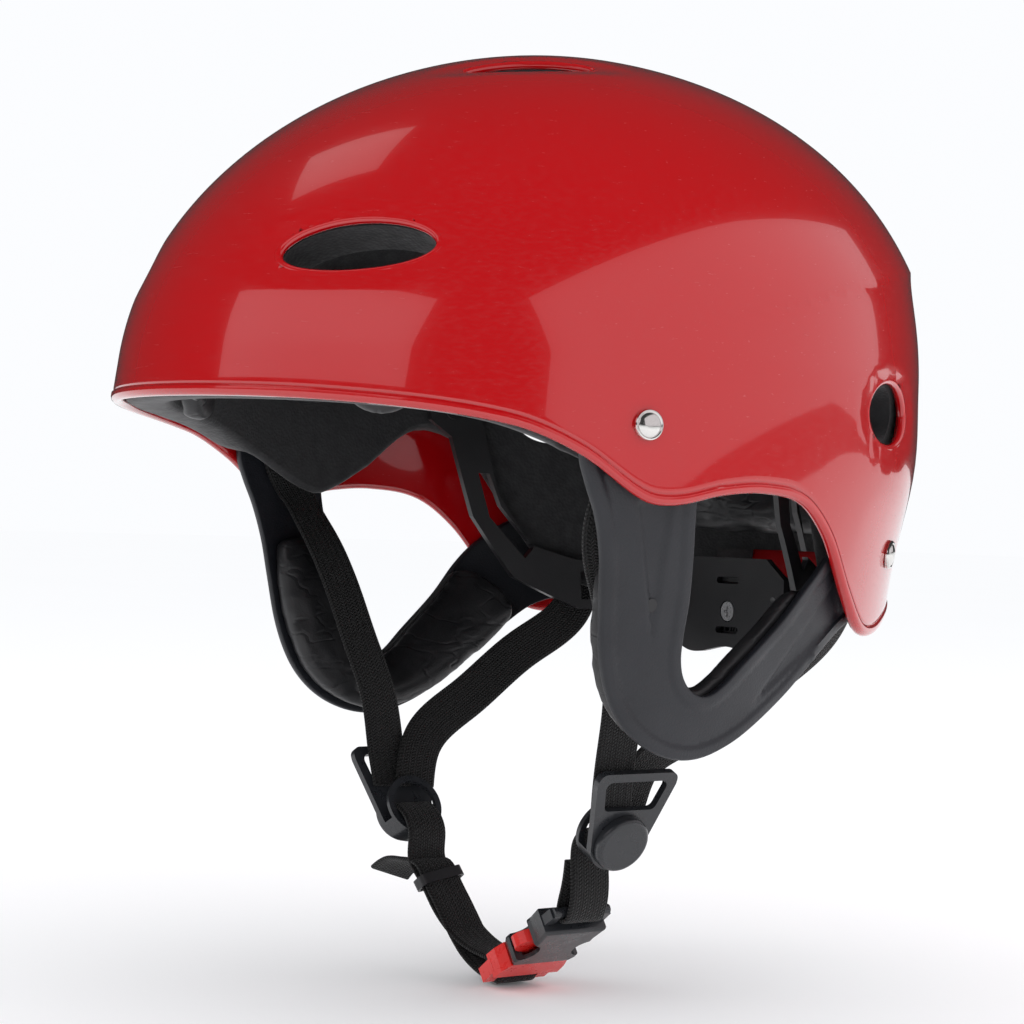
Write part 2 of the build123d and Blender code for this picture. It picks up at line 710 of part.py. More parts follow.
half_base = [(11.2, -0.2), (12.6, -4.5), (12.9, -9.2)]
base_half_thick = 4.2
guide = [(1.5, -1), (1.5, 15.5)]
guide_half_thick = 1.6
prong_half_thick = 2.1
seat_half_thick = 2.4
frame_half_thick = 2.5
with BuildPart() as buckle_plug:
    add(buckle_slab(mirrored(half_base), -base_half_thick, base_half_thick))
    frame_half = [(12.9, -8), (12.4, plug_bar_y - 1.2)]
    add(buckle_slab(mirrored(frame_half), -frame_half_thick, frame_half_thick))
    gap_half = [(strap_wide / 2 + 0.8, -9.2), (strap_wide / 2 + 0.8, plug_bar_y - 6)]
    add(buckle_slab(mirrored(gap_half), -8, 8), mode=Mode.SUBTRACT)
    add(cross_bar(plug_bar_y))
    add(buckle_slab(mirrored(guide), -guide_half_thick, guide_half_thick))
    for side in (left, right):
        seat = [(side * 3.6, 0.5), (side * 3.6, -5.2), (side * 9.4, -5.2), (side * 9.4, 0.5)]
        add(buckle_slab(seat, -seat_half_thick, seat_half_thick), mode=Mode.SUBTRACT)
buckle_plug.part.label = "buckle_plug"
export_step(buckle_plug.part, "parts/buckle_plug.step")

prong_half = [(4.4, -2.6), (8.0, -2.6), (8.4, 5.4), (11.6, 5.9), (13.2, 6.8), (14.2, 8.3),
              (14.4, 9.8), (13.9, 11.4), (12.2, 13.0), (9.7, 14.2), (8.4, 16.6), (6.2, 17.4),
              (5.6, 14.5), (6.0, 7.0), (5.2, 0.5)]
for name, side in (("buckle_prong_rear", 1), ("buckle_prong_front", -1)):
    with BuildPart() as prong:
        add(buckle_slab([(side * x, y) for x, y in prong_half],
                        -prong_half_thick, prong_half_thick))
    prong.part.label = name
    export_step(prong.part, f"parts/{name}.step")

# ---------------------------------------------------------------- chin webbing
bar_left = on_plane(buckle, 0, bar_y, 0)
with BuildLine(Plane.XZ.offset(-5)) as chin_left_way:
    hole = on_plane(divider_plane["left"], 0, -11, -3.4)
    wrap = CenterArc((bar_left.X, bar_left.Z), bar_wrap, -18, -180)
    Bezier((hole.X, hole.Z), (hole.X - 18, hole.Z - 2), (wrap @ 0) - (wrap % 0) * 14, wrap @ 0)
    Spline(wrap @ 1, (wrap @ 1) + (2.3, 8), (wrap @ 1) + (3.6, 16),
           tangents=[wrap % 1, Vector(0.1, 0, 0.99)])
with BuildPart() as chin_strap_left:
    add(webbing(chin_left_way.wires()[0], 44))
chin_strap_left.part.label = "chin_strap_left"
export_step(chin_strap_left.part, "parts/chin_strap_left.step")

bar_right = on_plane(buckle, 0, plug_bar_y, 0)
straight_from = Vector(-40, -3, -165)
straight_to = Vector(-30, 0, -179.5)
run_down = (straight_to - straight_from).normalized()
off_strap = run_down.cross(fore_aft).normalized()
tail_gap = 2.1
keeper_at = 8.5


def on_run(distance, off):
    """Place along the straight stretch of the right chin strap, off its broad face."""
    return straight_from + run_down * distance + off_strap * off


def around_bar(angle):
    """Place on the turn of the webbing around the plug's bar."""
    return bar_right + Vector(bar_wrap * cos(radians(angle)), 0, bar_wrap * sin(radians(angle)))


with BuildLine() as chin_right_way:
    wrap = ThreePointArc(around_bar(80), around_bar(-10), around_bar(-100))
    Spline(on_plane(divider_plane["right"], 0, -11, -3.4),
           on_plane(divider_plane["right"], 0, -23, chin_layer),
           on_run(0, 0), on_run(8, 0), on_run(17.9, 0), Vector(-15, 4, -191.5), wrap @ 0,
           tangents=[(0.98, 0, 0), wrap % 0])
    Spline(wrap @ 1, Vector(-16, 4, -195.0), on_run(17, tail_gap), on_run(10, tail_gap),
           on_run(3.5, tail_gap), (-46, -3.3, -166.4), (-53, -4.2, -168.0), (-60, -5, -172.5),
           tangents=[wrap % 1, (-0.78, 0, -0.62)])
with BuildPart() as chin_strap_right:
    add(webbing(chin_right_way.wires()[0], 90, twist_from=0.88))
chin_strap_right.part.label = "chin_strap_right"
export_step(chin_strap_right.part, "parts/chin_strap_right.step")

keeper_long = 3.6
keeper_wide = strap_wide + 3.2
keeper_high = 7.2
keeper_wall = 1.0
with BuildPart() as strap_keeper:
    ring_mid = on_run(keeper_at - keeper_long / 2, tail_gap / 2)
    with BuildSketch(Plane(ring_mid, x_dir=fore_aft, z_dir=run_down)):
        RectangleRounded(keeper_wide, keeper_high, 2.4)
        RectangleRounded(keeper_wide - 2 * keeper_wall, keeper_high - 2 * keeper_wall, 1.4,
                         mode=Mode.SUBTRACT)
    extrude(amount=keeper_long)
strap_keeper.part.label = "strap_keeper"
export_step(strap_keeper.part, "parts/strap_keeper.step")
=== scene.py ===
import bmesh
import bpy
import math
from mathutils import Matrix, Vector, noise
from mathutils.geometry import delaunay_2d_cdt


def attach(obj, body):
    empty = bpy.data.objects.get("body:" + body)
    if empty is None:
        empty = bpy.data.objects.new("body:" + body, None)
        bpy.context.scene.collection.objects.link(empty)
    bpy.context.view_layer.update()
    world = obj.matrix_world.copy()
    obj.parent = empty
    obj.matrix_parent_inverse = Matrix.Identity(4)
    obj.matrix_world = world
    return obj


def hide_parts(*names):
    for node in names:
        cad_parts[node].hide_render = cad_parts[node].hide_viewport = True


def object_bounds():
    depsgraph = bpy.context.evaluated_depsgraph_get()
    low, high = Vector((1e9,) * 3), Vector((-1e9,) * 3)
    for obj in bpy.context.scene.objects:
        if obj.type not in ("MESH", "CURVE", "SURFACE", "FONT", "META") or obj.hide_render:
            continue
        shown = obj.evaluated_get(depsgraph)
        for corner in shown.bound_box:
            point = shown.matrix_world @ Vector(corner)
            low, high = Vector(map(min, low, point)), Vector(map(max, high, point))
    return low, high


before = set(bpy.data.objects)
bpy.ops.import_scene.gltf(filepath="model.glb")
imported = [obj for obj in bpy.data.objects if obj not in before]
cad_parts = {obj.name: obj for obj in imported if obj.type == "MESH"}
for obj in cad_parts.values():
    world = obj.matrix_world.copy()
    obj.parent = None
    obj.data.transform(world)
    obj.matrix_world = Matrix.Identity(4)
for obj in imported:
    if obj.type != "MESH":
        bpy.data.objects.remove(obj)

cad_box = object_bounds()
mm = 0.001
left, right = 1, -1
fore_aft = Vector((0, 1, 0))

# The shell's form, as in the CAD model, in metres.
half_width = 112.0 * mm
rise = 105.5 * mm
reach_front = 133.0 * mm
reach_rear = 148.4 * mm
lean = 0.15
crown_y = 14.65 * mm
shell_thick = 3.0 * mm
liner_outer = 3.4 * mm
liner_inner = 16.0 * mm
pocket_depth = 12.0 * mm
vent_range = 40 * mm

shell_rim = [(-160, -11.5), (-113, -13.7), (-71, -19.3), (-51, -27.3), (-32, -39.6), (-21, -40.9),
             (-3, -37.5), (14, -36.4), (32.5, -39.3), (46.5, -49.7), (60, -67.5), (72, -78.3),
             (84, -80.0), (100, -76), (125, -70), (165, -68)]
liner_rim = [(-160, -10.5), (-100, -13.5), (-70, -17.5), (-45, -27), (-23, -37.4), (-14, -38),
             (4, -28), (20, -15.5), (31, -13.5), (44, -20), (58, -42), (72, -62), (92, -71),
             (120, -67), (165, -64)]
vents = [((-101.7, 30.5), 50.0, 19.0, (0.755, 0.651, 0.075)),
         ((-24.0, 95.6), 44.0, 17.0, (0.35, 0.93, -0.10)),
         ((80.5, -10.8), 32.0, 22.0, (-0.57, 0.82, 0.0))]
rivet_spots = [(-31.1, -19.6), (91.2, -55.5)]


# ---- small maths
def hermite(a, b, slope_a, slope_b, t):
    """Cubic from a to b with the slopes given at its ends, t from 0 to 1."""
    return (a * (2 * t**3 - 3 * t**2 + 1) + slope_a * (t**3 - 2 * t**2 + t)
            + b * (3 * t**2 - 2 * t**3) + slope_b * (t**3 - t**2))


def curve_through(points):
    """Smooth height over a row of points, as a function of the first number."""
    xs = [p[0] * mm for p in points]
    ys = [p[1] * mm for p in points]
    slopes = []
    for i in range(len(xs)):
        a, b = max(i - 1, 0), min(i + 1, len(xs) - 1)
        slopes.append((ys[b] - ys[a]) / (xs[b] - xs[a]))

    def value(x):
        x = min(max(x, xs[0]), xs[-1])
        i = max(k for k in range(len(xs) - 1) if xs[k] <= x or k == 0)
        span = xs[i + 1] - xs[i]
        t = (x - xs[i]) / span
        return hermite(ys[i], ys[i + 1], span * slopes[i], span * slopes[i + 1], t)
    return value


def smooth(x, low, high):
    """0 below low, 1 above high, smooth between."""
    t = min(max((x - low) / (high - low), 0.0), 1.0)
    return t * t * (3 - 2 * t)


def bump(x, width):
    """Bell of height 1 at 0."""
    return math.exp(-(x / width) ** 2)


def middle_y(z):
    """Widest place of the shell at a height."""
    return crown_y + lean * (z - rise)


def from_middle(y, z):
    """Distance behind the widest place, and the form's reach that way."""
    along = y - middle_y(z)
    return along, reach_front if along < 0 else reach_rear


def inside_form(p):
    """Below 0 inside the shell's outer form, above 0 outside."""
    along, reach = from_middle(p.y, p.z)
    return (p.x / half_width) ** 2 + (along / reach) ** 2 + (max(p.z, 0) / rise) ** 2 - 1


def outward(p):
    """Way out of the shell at a point on it."""
    along, reach = from_middle(p.y, p.z)
    out_y = along / reach**2
    return Vector((p.x / half_width**2, out_y, max(p.z, 0) / rise**2 - lean * out_y)).normalized()


def skin(side, spot):
    """Point on the outer form from its side-view place."""
    y, z = spot[0] * mm, spot[1] * mm
    along, reach = from_middle(y, z)
    x = half_width * math.sqrt(1 - (along / reach) ** 2 - (max(z, 0) / rise) ** 2)
    return Vector((side * x, y, z))


def on_skin(p, way):
    """Where the line through p along way leaves the outer form."""
    low, high = -30 * mm, 30 * mm
    for _ in range(30):     # halvings
        mid = (low + high) / 2
        if inside_form(p + way * mid) > 0:
            high = mid
        else:
            low = mid
    return p + way * low


class Vent:
    """Place and axes of one vent."""

    def __init__(self, side, data):
        spot, long_size, short_size, run = data
        self.centre = skin(side, spot)
        self.way = outward(self.centre)
        run = Vector((side * run[0], run[1], run[2]))
        self.long_way = (run - self.way * run.dot(self.way)).normalized()
        self.short_way = self.way.cross(self.long_way)
        self.a, self.b = long_size / 2 * mm, short_size / 2 * mm

    def spread(self, p):
        """Ellipse radius of a point, 1 at the vent's edge."""
        d = p - self.centre
        if abs(d.dot(self.way)) > vent_range:
            return math.inf
        return math.hypot(d.dot(self.long_way) / self.a, d.dot(self.short_way) / self.b)

    def edge(self, angle, grow=0.0):
        """Point of the vent's outline, in the plane that touches the form at its centre."""
        return (self.centre + self.long_way * (self.a + grow) * math.cos(angle)
                + self.short_way * (self.b + grow) * math.sin(angle))


all_vents = [Vent(side, data) for side in (left, right) for data in vents]

crest = curve_through([(-60, -2), (-13, 10.5), (30, 20.5), (66.5, 29.4), (110, 38), (160, 40)])
crease_height = 2.6 * mm
fade_above = 26 * mm
fade_below = 7 * mm
hollow_fade = 30 * mm
nape_bulge = 3.4 * mm
dish_depth = 0.8 * mm


def shell_swell(p):
    """How far the real shell stands out from the plain form: crease, bulge, vent dishes."""
    out = 0.0
    strength = crease_height * smooth(p.y, -60 * mm, 95 * mm)
    if strength > 0:
        s = p.z - crest(p.y)
        if s > 0:
            out += strength * math.exp(-s / fade_above) * 0.9
        else:
            out += strength * (1.15 * math.exp(s / fade_below) - 0.25 * math.exp(s / hollow_fade))
    out += nape_bulge * smooth(p.y, 40 * mm, 105 * mm) * bump(p.z + 26 * mm, 25 * mm)
    for vent in all_vents:
        out -= dish_depth * (1 - smooth(vent.spread(p), 0.95, 1.6))
    return out


def along_axes(step):
    return [Vector((step, 0, 0)), Vector((0, step, 0)), Vector((0, 0, step))]


def above_form(p):
    """Signed height of a point over the real shell's outer face, near that face."""
    step = 0.5 * mm
    here = inside_form(p)
    slope = Vector([(inside_form(p + way) - here) / step for way in along_axes(step)])
    return here / slope.length - shell_swell(p)


def face_way(p):
    """Way out of the real shell at a point on its outer face."""
    ways = along_axes(0.6 * mm)
    return Vector([above_form(p + way) - above_form(p - way) for way in ways]).normalized()


# ---- mesh helpers
def new_object(name, mesh):
    obj = bpy.data.objects.new(name, mesh)
    bpy.context.scene.collection.objects.link(obj)
    return obj


def mesh_object(name, verts, faces, material=None, smooth_angle=None):
    mesh = bpy.data.meshes.new(name)
    mesh.from_pydata([tuple(v) for v in verts], [], faces)
    mesh.update()
    obj = new_object(name, mesh)
    if material:
        mesh.materials.append(material)
    shade(obj, smooth_angle)
    return obj


def shade(obj, angle=None):
    """Smooth shading, kept crisp over edges sharper than the angle in degrees."""
    mesh = obj.data
    mesh.shade_smooth()
    if angle is not None:
        mesh.set_sharp_from_angle(angle=math.radians(angle))


def apply_modifiers(obj):
    """Replace the object's mesh by its evaluated one."""
    graph = bpy.context.evaluated_depsgraph_get()
    done = bpy.data.meshes.new_from_object(obj.evaluated_get(graph))
    old = obj.data
    obj.modifiers.clear()
    obj.data = done
    bpy.data.meshes.remove(old)
    return obj


def copy_of(node, name):
    """A free copy of a CAD node's mesh."""
    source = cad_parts[node]
    mesh = source.data.copy()
    mesh.materials.clear()
    obj = new_object(name, mesh)
    obj.matrix_world = Matrix.Identity(4)
    return obj


def clean_mesh(obj, weld=0.02 * mm, shortest=0.0):
    """Weld near points, drop loose ones and faces with no area, turn every face outward."""
    bm = bmesh.new()
    bm.from_mesh(obj.data)
    if weld:
        bmesh.ops.remove_doubles(bm, verts=bm.verts, dist=weld)
    if shortest:
        bmesh.ops.dissolve_degenerate(bm, edges=bm.edges, dist=shortest)
    loose = [v for v in bm.verts if not v.link_faces]
    bmesh.ops.delete(bm, geom=loose, context="VERTS")
    bmesh.ops.recalc_face_normals(bm, faces=bm.faces)
    bm.to_mesh(obj.data)
    bm.free()


def band_faces(rows, sides, closed=False):
    """Quads between rows of points, each row a closed round of sides points."""
    faces = []
    for i in range(rows if closed else rows - 1):
        j = (i + 1) % rows
        for k in range(sides):
            n = (k + 1) % sides
            faces.append((i * sides + k, i * sides + n, j * sides + n, j * sides + k))
    return faces


def cut(obj, cutter):
    """Boolean difference, applied, and the cutter removed."""
    mod = obj.modifiers.new("cut", "BOOLEAN")
    mod.operation = "DIFFERENCE"
    mod.solver = "EXACT"
    mod.object = cutter
    apply_modifiers(obj)
    bpy.data.objects.remove(cutter)


def joined(name, objects):
    """One object out of several, keeping materials of the first."""
    bm = bmesh.new()
    for obj in objects:
        bm.from_mesh(obj.data)
    mesh = bpy.data.meshes.new(name)
    bm.to_mesh(mesh)
    bm.free()
    for material in objects[0].data.materials:
        mesh.materials.append(material)
    for obj in objects:
        bpy.data.objects.remove(obj)
    out = new_object(name, mesh)
    out.data.shade_smooth()
    return out


def ring_bead(name, points, outs, radius, material, sides=10):
    """Round bead along a closed row of points. outs holds the way out at each point."""
    verts = []
    count = len(points)
    for i, (p, out) in enumerate(zip(points, outs)):
        ahead = (points[(i + 1) % count] - points[i - 1]).normalized()
        a = ahead.cross(out).normalized()
        b = a.cross(ahead).normalized()
        for k in range(sides):
            t = 2 * math.pi * k / sides
            verts.append(p + a * radius * math.cos(t) + b * radius * math.sin(t))
    obj = mesh_object(name, verts, band_faces(count, sides, closed=True), material)
    clean_mesh(obj)
    return obj


# ---- materials
class Look:
    """A procedural material built from a few plain calls."""

    def __init__(self, name, color, rough, **sockets):
        self.material = bpy.data.materials.new(name)
        self.material.use_nodes = True
        self.tree = self.material.node_tree
        self.shader = self.tree.nodes["Principled BSDF"]
        self.shader.inputs["Base Color"].default_value = (*color, 1)
        self.shader.inputs["Roughness"].default_value = rough
        for key, value in sockets.items():
            self.shader.inputs[key.replace("_", " ")].default_value = value
        self.coords = self.tree.nodes.new("ShaderNodeTexCoord").outputs["Object"]
        self.height = None

    def node(self, kind, **values):
        made = self.tree.nodes.new(kind)
        for key, value in values.items():
            setattr(made, key, value)
        return made

    def link(self, a, b):
        self.tree.links.new(a, b)

    def scaled(self, factors):
        mapping = self.node("ShaderNodeMapping")
        mapping.inputs["Scale"].default_value = factors
        self.link(self.coords, mapping.inputs["Vector"])
        return mapping.outputs["Vector"]

    def noise(self, scale, detail=3.0, rough=0.5, source=None):
        made = self.node("ShaderNodeTexNoise")
        made.inputs["Scale"].default_value = scale
        made.inputs["Detail"].default_value = detail
        made.inputs["Roughness"].default_value = rough
        self.link(source or self.coords, made.inputs["Vector"])
        return made.outputs["Fac"]

    def cells(self, scale):
        made = self.node("ShaderNodeTexVoronoi")
        made.inputs["Scale"].default_value = scale
        self.link(self.coords, made.inputs["Vector"])
        return made.outputs["Distance"]

    def ramp(self, value, low, high, out_low=0.0, out_high=1.0):
        made = self.node("ShaderNodeMapRange")
        made.inputs["From Min"].default_value = low
        made.inputs["From Max"].default_value = high
        made.inputs["To Min"].default_value = out_low
        made.inputs["To Max"].default_value = out_high
        self.link(value, made.inputs["Value"])
        return made.outputs["Result"]

    def math(self, operation, a, b=None):
        made = self.node("ShaderNodeMath", operation=operation)
        for i, value in enumerate((a, b)):
            if value is None:
                continue
            if isinstance(value, (int, float)):
                made.inputs[i].default_value = value
            else:
                self.link(value, made.inputs[i])
        return made.outputs[0]

    def paint(self, value, dark, light):
        """Base colour between two colours by a value."""
        mix = self.node("ShaderNodeMix", data_type="RGBA")
        mix.inputs["A"].default_value = (*dark, 1)
        mix.inputs["B"].default_value = (*light, 1)
        self.link(value, mix.inputs["Factor"])
        self.link(mix.outputs["Result"], self.shader.inputs["Base Color"])

    def gloss(self, value):
        self.link(value, self.shader.inputs["Roughness"])

    def relief(self, value, strength, distance):
        """Add one layer of bump."""
        made = self.node("ShaderNodeBump")
        made.inputs["Strength"].default_value = strength
        made.inputs["Distance"].default_value = distance
        self.link(value, made.inputs["Height"])
        if self.height:
            self.link(self.height, made.inputs["Normal"])
        self.height = made.outputs["Normal"]
        self.link(self.height, self.shader.inputs["Normal"])


def shell_look():
    look = Look("shell_red", (0.43, 0.001, 0.003), 0.22, Coat_Weight=1.0, Coat_Roughness=0.03,
                Specular_IOR_Level=0.5)
    look.paint(look.noise(9, 2), (0.41, 0.0005, 0.002), (0.47, 0.001, 0.004))
    scratches = look.noise(60, 4, 0.6, look.scaled((1, 6, 22)))
    look.gloss(look.ramp(scratches, 0.45, 0.75, 0.16, 0.30))
    look.relief(look.noise(95, 1.5), 0.05, 0.0006)
    return look.material


def foam_look():
    look = Look("eva_black", (0.012, 0.012, 0.013), 0.75, Sheen_Weight=0.15)
    look.paint(look.noise(160, 3), (0.008, 0.008, 0.009), (0.022, 0.022, 0.024))
    look.gloss(look.ramp(look.noise(220, 2), 0.3, 0.7, 0.6, 0.85))
    look.relief(look.cells(900), 0.35, 0.0004)
    return look.material


def leatherette_look():
    look = Look("pad_leatherette", (0.012, 0.012, 0.013), 0.42, Specular_IOR_Level=0.55)
    look.paint(look.noise(70, 3), (0.007, 0.007, 0.008), (0.018, 0.018, 0.020))
    look.gloss(look.ramp(look.noise(140, 3), 0.3, 0.7, 0.30, 0.52))
    creases = look.noise(45, 2, 0.5, look.scaled((1.0, 1.0, 2.2)))
    folded = look.math("ABSOLUTE", look.math("SUBTRACT", creases, 0.5))
    look.relief(look.ramp(folded, 0.0, 0.035), 0.22, 0.0007)
    look.relief(look.cells(1500), 0.14, 0.0002)
    return look.material


def grain_look(name, dark, light, rough, grain=1500.0, depth=0.00025, strength=0.5):
    """Moulded plastic with a spark-eroded grain."""
    look = Look(name, light, rough, Specular_IOR_Level=0.5)
    look.paint(look.noise(38, 4, 0.6), dark, light)
    look.gloss(look.ramp(look.noise(55, 4), 0.3, 0.7, rough - 0.06, rough + 0.08))
    look.relief(look.noise(grain, 2, 0.6), strength, depth)
    return look.material


def gloss_plastic_look(name, dark, light, rough):
    """Smooth moulded plastic with faint flow marks and handling wear."""
    look = Look(name, light, rough, Specular_IOR_Level=0.5, Coat_Weight=0.25,
                Coat_Roughness=0.12)
    look.paint(look.noise(75, 3), dark, light)
    wear = look.noise(190, 5, 0.7)
    look.gloss(look.ramp(wear, 0.35, 0.75, rough - 0.05, rough + 0.18))
    look.relief(look.noise(420, 3), 0.10, 0.0002)
    return look.material


def metal_look(name, color, rough, scratch):
    look = Look(name, color, rough, Metallic=1.0)
    fine = look.noise(700, 4, 0.65, look.scaled(scratch))
    dark = tuple(c * 0.82 for c in color)
    look.paint(fine, dark, color)
    look.gloss(look.ramp(fine, 0.3, 0.75, rough * 0.6, rough * 1.8))
    look.relief(look.noise(240, 3), 0.06, 0.0003)
    return look.material


def webbing_look():
    """Woven webbing: chevron rows along the strap, with a plain edge."""
    look = Look("webbing_black", (0.005, 0.005, 0.005), 0.7, Sheen_Weight=0.08,
                Sheen_Roughness=0.4, Specular_IOR_Level=0.35)
    lay = look.node("ShaderNodeAttribute", attribute_name="lay").outputs["Vector"]
    parts = look.node("ShaderNodeSeparateXYZ")
    look.link(lay, parts.inputs[0])
    along, across = parts.outputs["X"], parts.outputs["Y"]
    column, row_pitch, end_pitch = 1.25 * mm, 1.15 * mm, 0.95 * mm
    zig = look.math("PINGPONG", across, column)
    slanted = look.math("ADD", along, look.math("MULTIPLY", zig, 0.75))
    rows = look.math("SINE", look.math("MULTIPLY", slanted, 2 * math.pi / row_pitch))
    ends = look.math("SINE", look.math("MULTIPLY", across, 2 * math.pi / end_pitch))
    weave = look.math("ADD", look.math("MULTIPLY", rows, 0.6), look.math("MULTIPLY", ends, 0.4))
    fuzz = look.noise(2600, 2)
    height = look.math("ADD", weave, look.math("MULTIPLY", fuzz, 0.5))
    look.relief(height, 0.9, 0.00024)
    # Painted shade: the weave's low places are painted darker, as shade falls between the threads;
    # the fuzz adds a random tone on top.
    look.paint(look.ramp(height, -0.7, 1.2), (0.0015, 0.0015, 0.0015), (0.012, 0.012, 0.012))
    look.gloss(look.ramp(fuzz, 0.3, 0.7, 0.5, 0.75))
    return look.material


shell_red = shell_look()
eva_black = foam_look()
leatherette = leatherette_look()
charcoal = grain_look("guard_charcoal", (0.008, 0.009, 0.012), (0.015, 0.0165, 0.022), 0.44)
fit_black = grain_look("fit_black", (0.008, 0.008, 0.009), (0.018, 0.018, 0.020), 0.38,
                       grain=1900, depth=0.0002, strength=0.3)
dark_gloss = gloss_plastic_look("buckle_grey", (0.012, 0.013, 0.015), (0.022, 0.024, 0.028),
                                0.28)
bright_red = gloss_plastic_look("buckle_red", (0.60, 0.012, 0.010), (0.74, 0.022, 0.016), 0.27)
nickel = metal_look("nickel", (0.80, 0.79, 0.76), 0.13, (1, 1, 1))
steel = metal_look("steel", (0.56, 0.56, 0.57), 0.28, (1, 9, 1))
webbing = webbing_look()


# ---- shell and liner walls
def form_row(turn, height, depth):
    """Point of the plain form. height above 0 is an angle in radians, below 0 metres."""
    share = 1 - depth / half_width
    wide = math.cos(height) if height > 0 else 1.0
    z = (rise - depth) * math.sin(height) if height > 0 else height
    reach = reach_rear if math.sin(turn) > 0 else reach_front
    x = (half_width - depth) * wide * math.cos(turn)
    y = middle_y(z) + reach * share * wide * math.sin(turn)
    return Vector((x, y, z))


def rim_height(turn, depth, rim):
    """Height at which a wall at this depth meets the rim curve."""
    z = -30 * mm
    for _ in range(25):
        z = rim(form_row(turn, z, depth).y)
    return z


edge_drop = 2.4 * mm
edge_steps = 6
square_from = 3 * mm        # half thickness from which a wall's edge is squarer than round


def wall(name, outer_depth, inner_depth, rim, swell, columns, rows, material):
    """Closed domed wall, crown to rim outside, round the edge, and back up inside."""
    verts, faces = [], []
    rim_rows = [s * mm for s in (24, 16, 11, 8, 5.5, 3.8, 2.7, 2.2, 1.85, 1.5, 1.2, 0.7, 0.3)]
    side_rows = 14
    dome = [math.pi / 2 * (1 - (r + 1) / rows) for r in range(rows - 1)]
    for c in range(columns):
        turn = 2 * math.pi * (c + 0.5) / columns
        outer_low = rim_height(turn, outer_depth(Vector((0, 0, -1))), rim)
        ring = []
        heights = dome + [-0.001 * mm]
        body = outer_low + rim_rows[0]
        if body < -4 * mm:
            steps = max(int(-body / (5 * mm)), 1)
            heights += [body * (k + 1) / steps for k in range(steps)]
        heights += [heights[-1]] * (rows + side_rows - len(heights))
        lows = [outer_low + s for s in rim_rows if outer_low + s < heights[-1] - 0.01 * mm]
        heights += [lows[0]] * (len(rim_rows) - len(lows)) + lows
        for h in heights:
            flat = form_row(turn, h, 0.0)
            depth = outer_depth(flat)
            p = form_row(turn, h, depth)
            way = outward(flat)
            ring.append(p + way * swell(flat, 0, flat.z - outer_low))
        flat = form_row(turn, outer_low, 0.0)
        way = outward(flat)
        out_p = form_row(turn, outer_low, outer_depth(flat)) + way * swell(flat, 0, 0)
        in_p = form_row(turn, outer_low, inner_depth(flat)) + way * swell(flat, 1, 0)
        mid = (out_p + in_p) / 2
        half = (out_p - in_p) / 2
        drop = Vector((0, 0, -1)) * min(half.length, edge_drop)
        for k in range(edge_steps + 1):
            t = math.pi * k / edge_steps
            x = math.cos(t)
            full = math.copysign(abs(x) ** 0.6, x) if half.length > square_from else x
            ring.append(mid + half * full + drop * math.sin(t))
        for h in reversed(heights):
            flat = form_row(turn, h, 0.0)
            p = form_row(turn, h, inner_depth(flat))
            way = outward(flat)
            ring.append(p + way * swell(flat, 1, flat.z - outer_low))
        verts += ring
    size = len(verts) // columns
    for c in range(columns):
        n = (c + 1) % columns
        for r in range(size - 1):
            faces.append((c * size + r, c * size + r + 1, n * size + r + 1, n * size + r))
    top = form_row(0.0, math.pi / 2, 0.0)
    out_top = len(verts)
    verts.append(Vector((0, top.y, rise - outer_depth(top) + swell(top, 0, 1))))
    verts.append(Vector((0, top.y, rise - inner_depth(top) + swell(top, 1, 1))))
    for c in range(columns):
        n = (c + 1) % columns
        faces.append((out_top, c * size, n * size))
        faces.append((out_top + 1, n * size + size - 1, c * size + size - 1))
    obj = mesh_object(name, verts, faces, material)
    clean_mesh(obj, 0.03 * mm, 0.02 * mm)
    return obj


def plug(vent, grow, sides=64):
    """Elliptical cutter for a vent."""
    verts = [vent.edge(2 * math.pi * k / sides, grow) + vent.way * level
             for level in (-26 * mm, 26 * mm) for k in range(sides)]
    faces = band_faces(2, sides)
    faces.append(tuple(reversed(range(sides))))
    faces.append(tuple(range(sides, 2 * sides)))
    obj = mesh_object("plug", verts, faces)
    clean_mesh(obj)
    return obj


lip_radius = 1.45 * mm
lip_sunk = 1.35 * mm
band_height = 0.4 * mm
groove_depth = 0.25 * mm


def make_shell():
    rim = curve_through(shell_rim)

    def swell(p, inside, above_rim):
        out = shell_swell(p)
        band = band_height * (1 - smooth(above_rim, 1.2 * mm, 1.55 * mm))
        groove = groove_depth * bump(above_rim - 1.85 * mm, 0.3 * mm)
        return out + (0 if inside else band - groove)

    shell = wall("outer_shell", lambda p: 0.0, lambda p: shell_thick, rim, swell,
                 columns=380, rows=72, material=shell_red)
    for vent in all_vents:
        cut(shell, plug(vent, 0.0))
    shade(shell, 40)
    ways = []       # analytic normals on the outer face hide the cuts' long triangles
    for v in shell.data.vertices:
        on_face = (v.co.z > rim(v.co.y) + 4.5 * mm and v.normal.dot(outward(v.co)) > 0.6
                   and abs(above_form(v.co)) < 0.4 * mm)
        ways.append(face_way(v.co) if on_face else Vector((0, 0, 0)))
    shell.data.normals_split_custom_set_from_vertices(ways)
    pieces = [shell]
    for vent in all_vents:
        points = []
        for k in range(72):
            p = on_skin(vent.edge(2 * math.pi * k / 72), vent.way)
            points.append(p + outward(p) * (shell_swell(p) - lip_sunk))
        outs = [outward(p) for p in points]
        pieces.append(ring_bead("lip", points, outs, lip_radius, shell_red))
    shell = joined("shell_and_lips", pieces)
    shade(shell, 40)
    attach(shell, "helmet")
    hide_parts("outer_shell")
    return shell


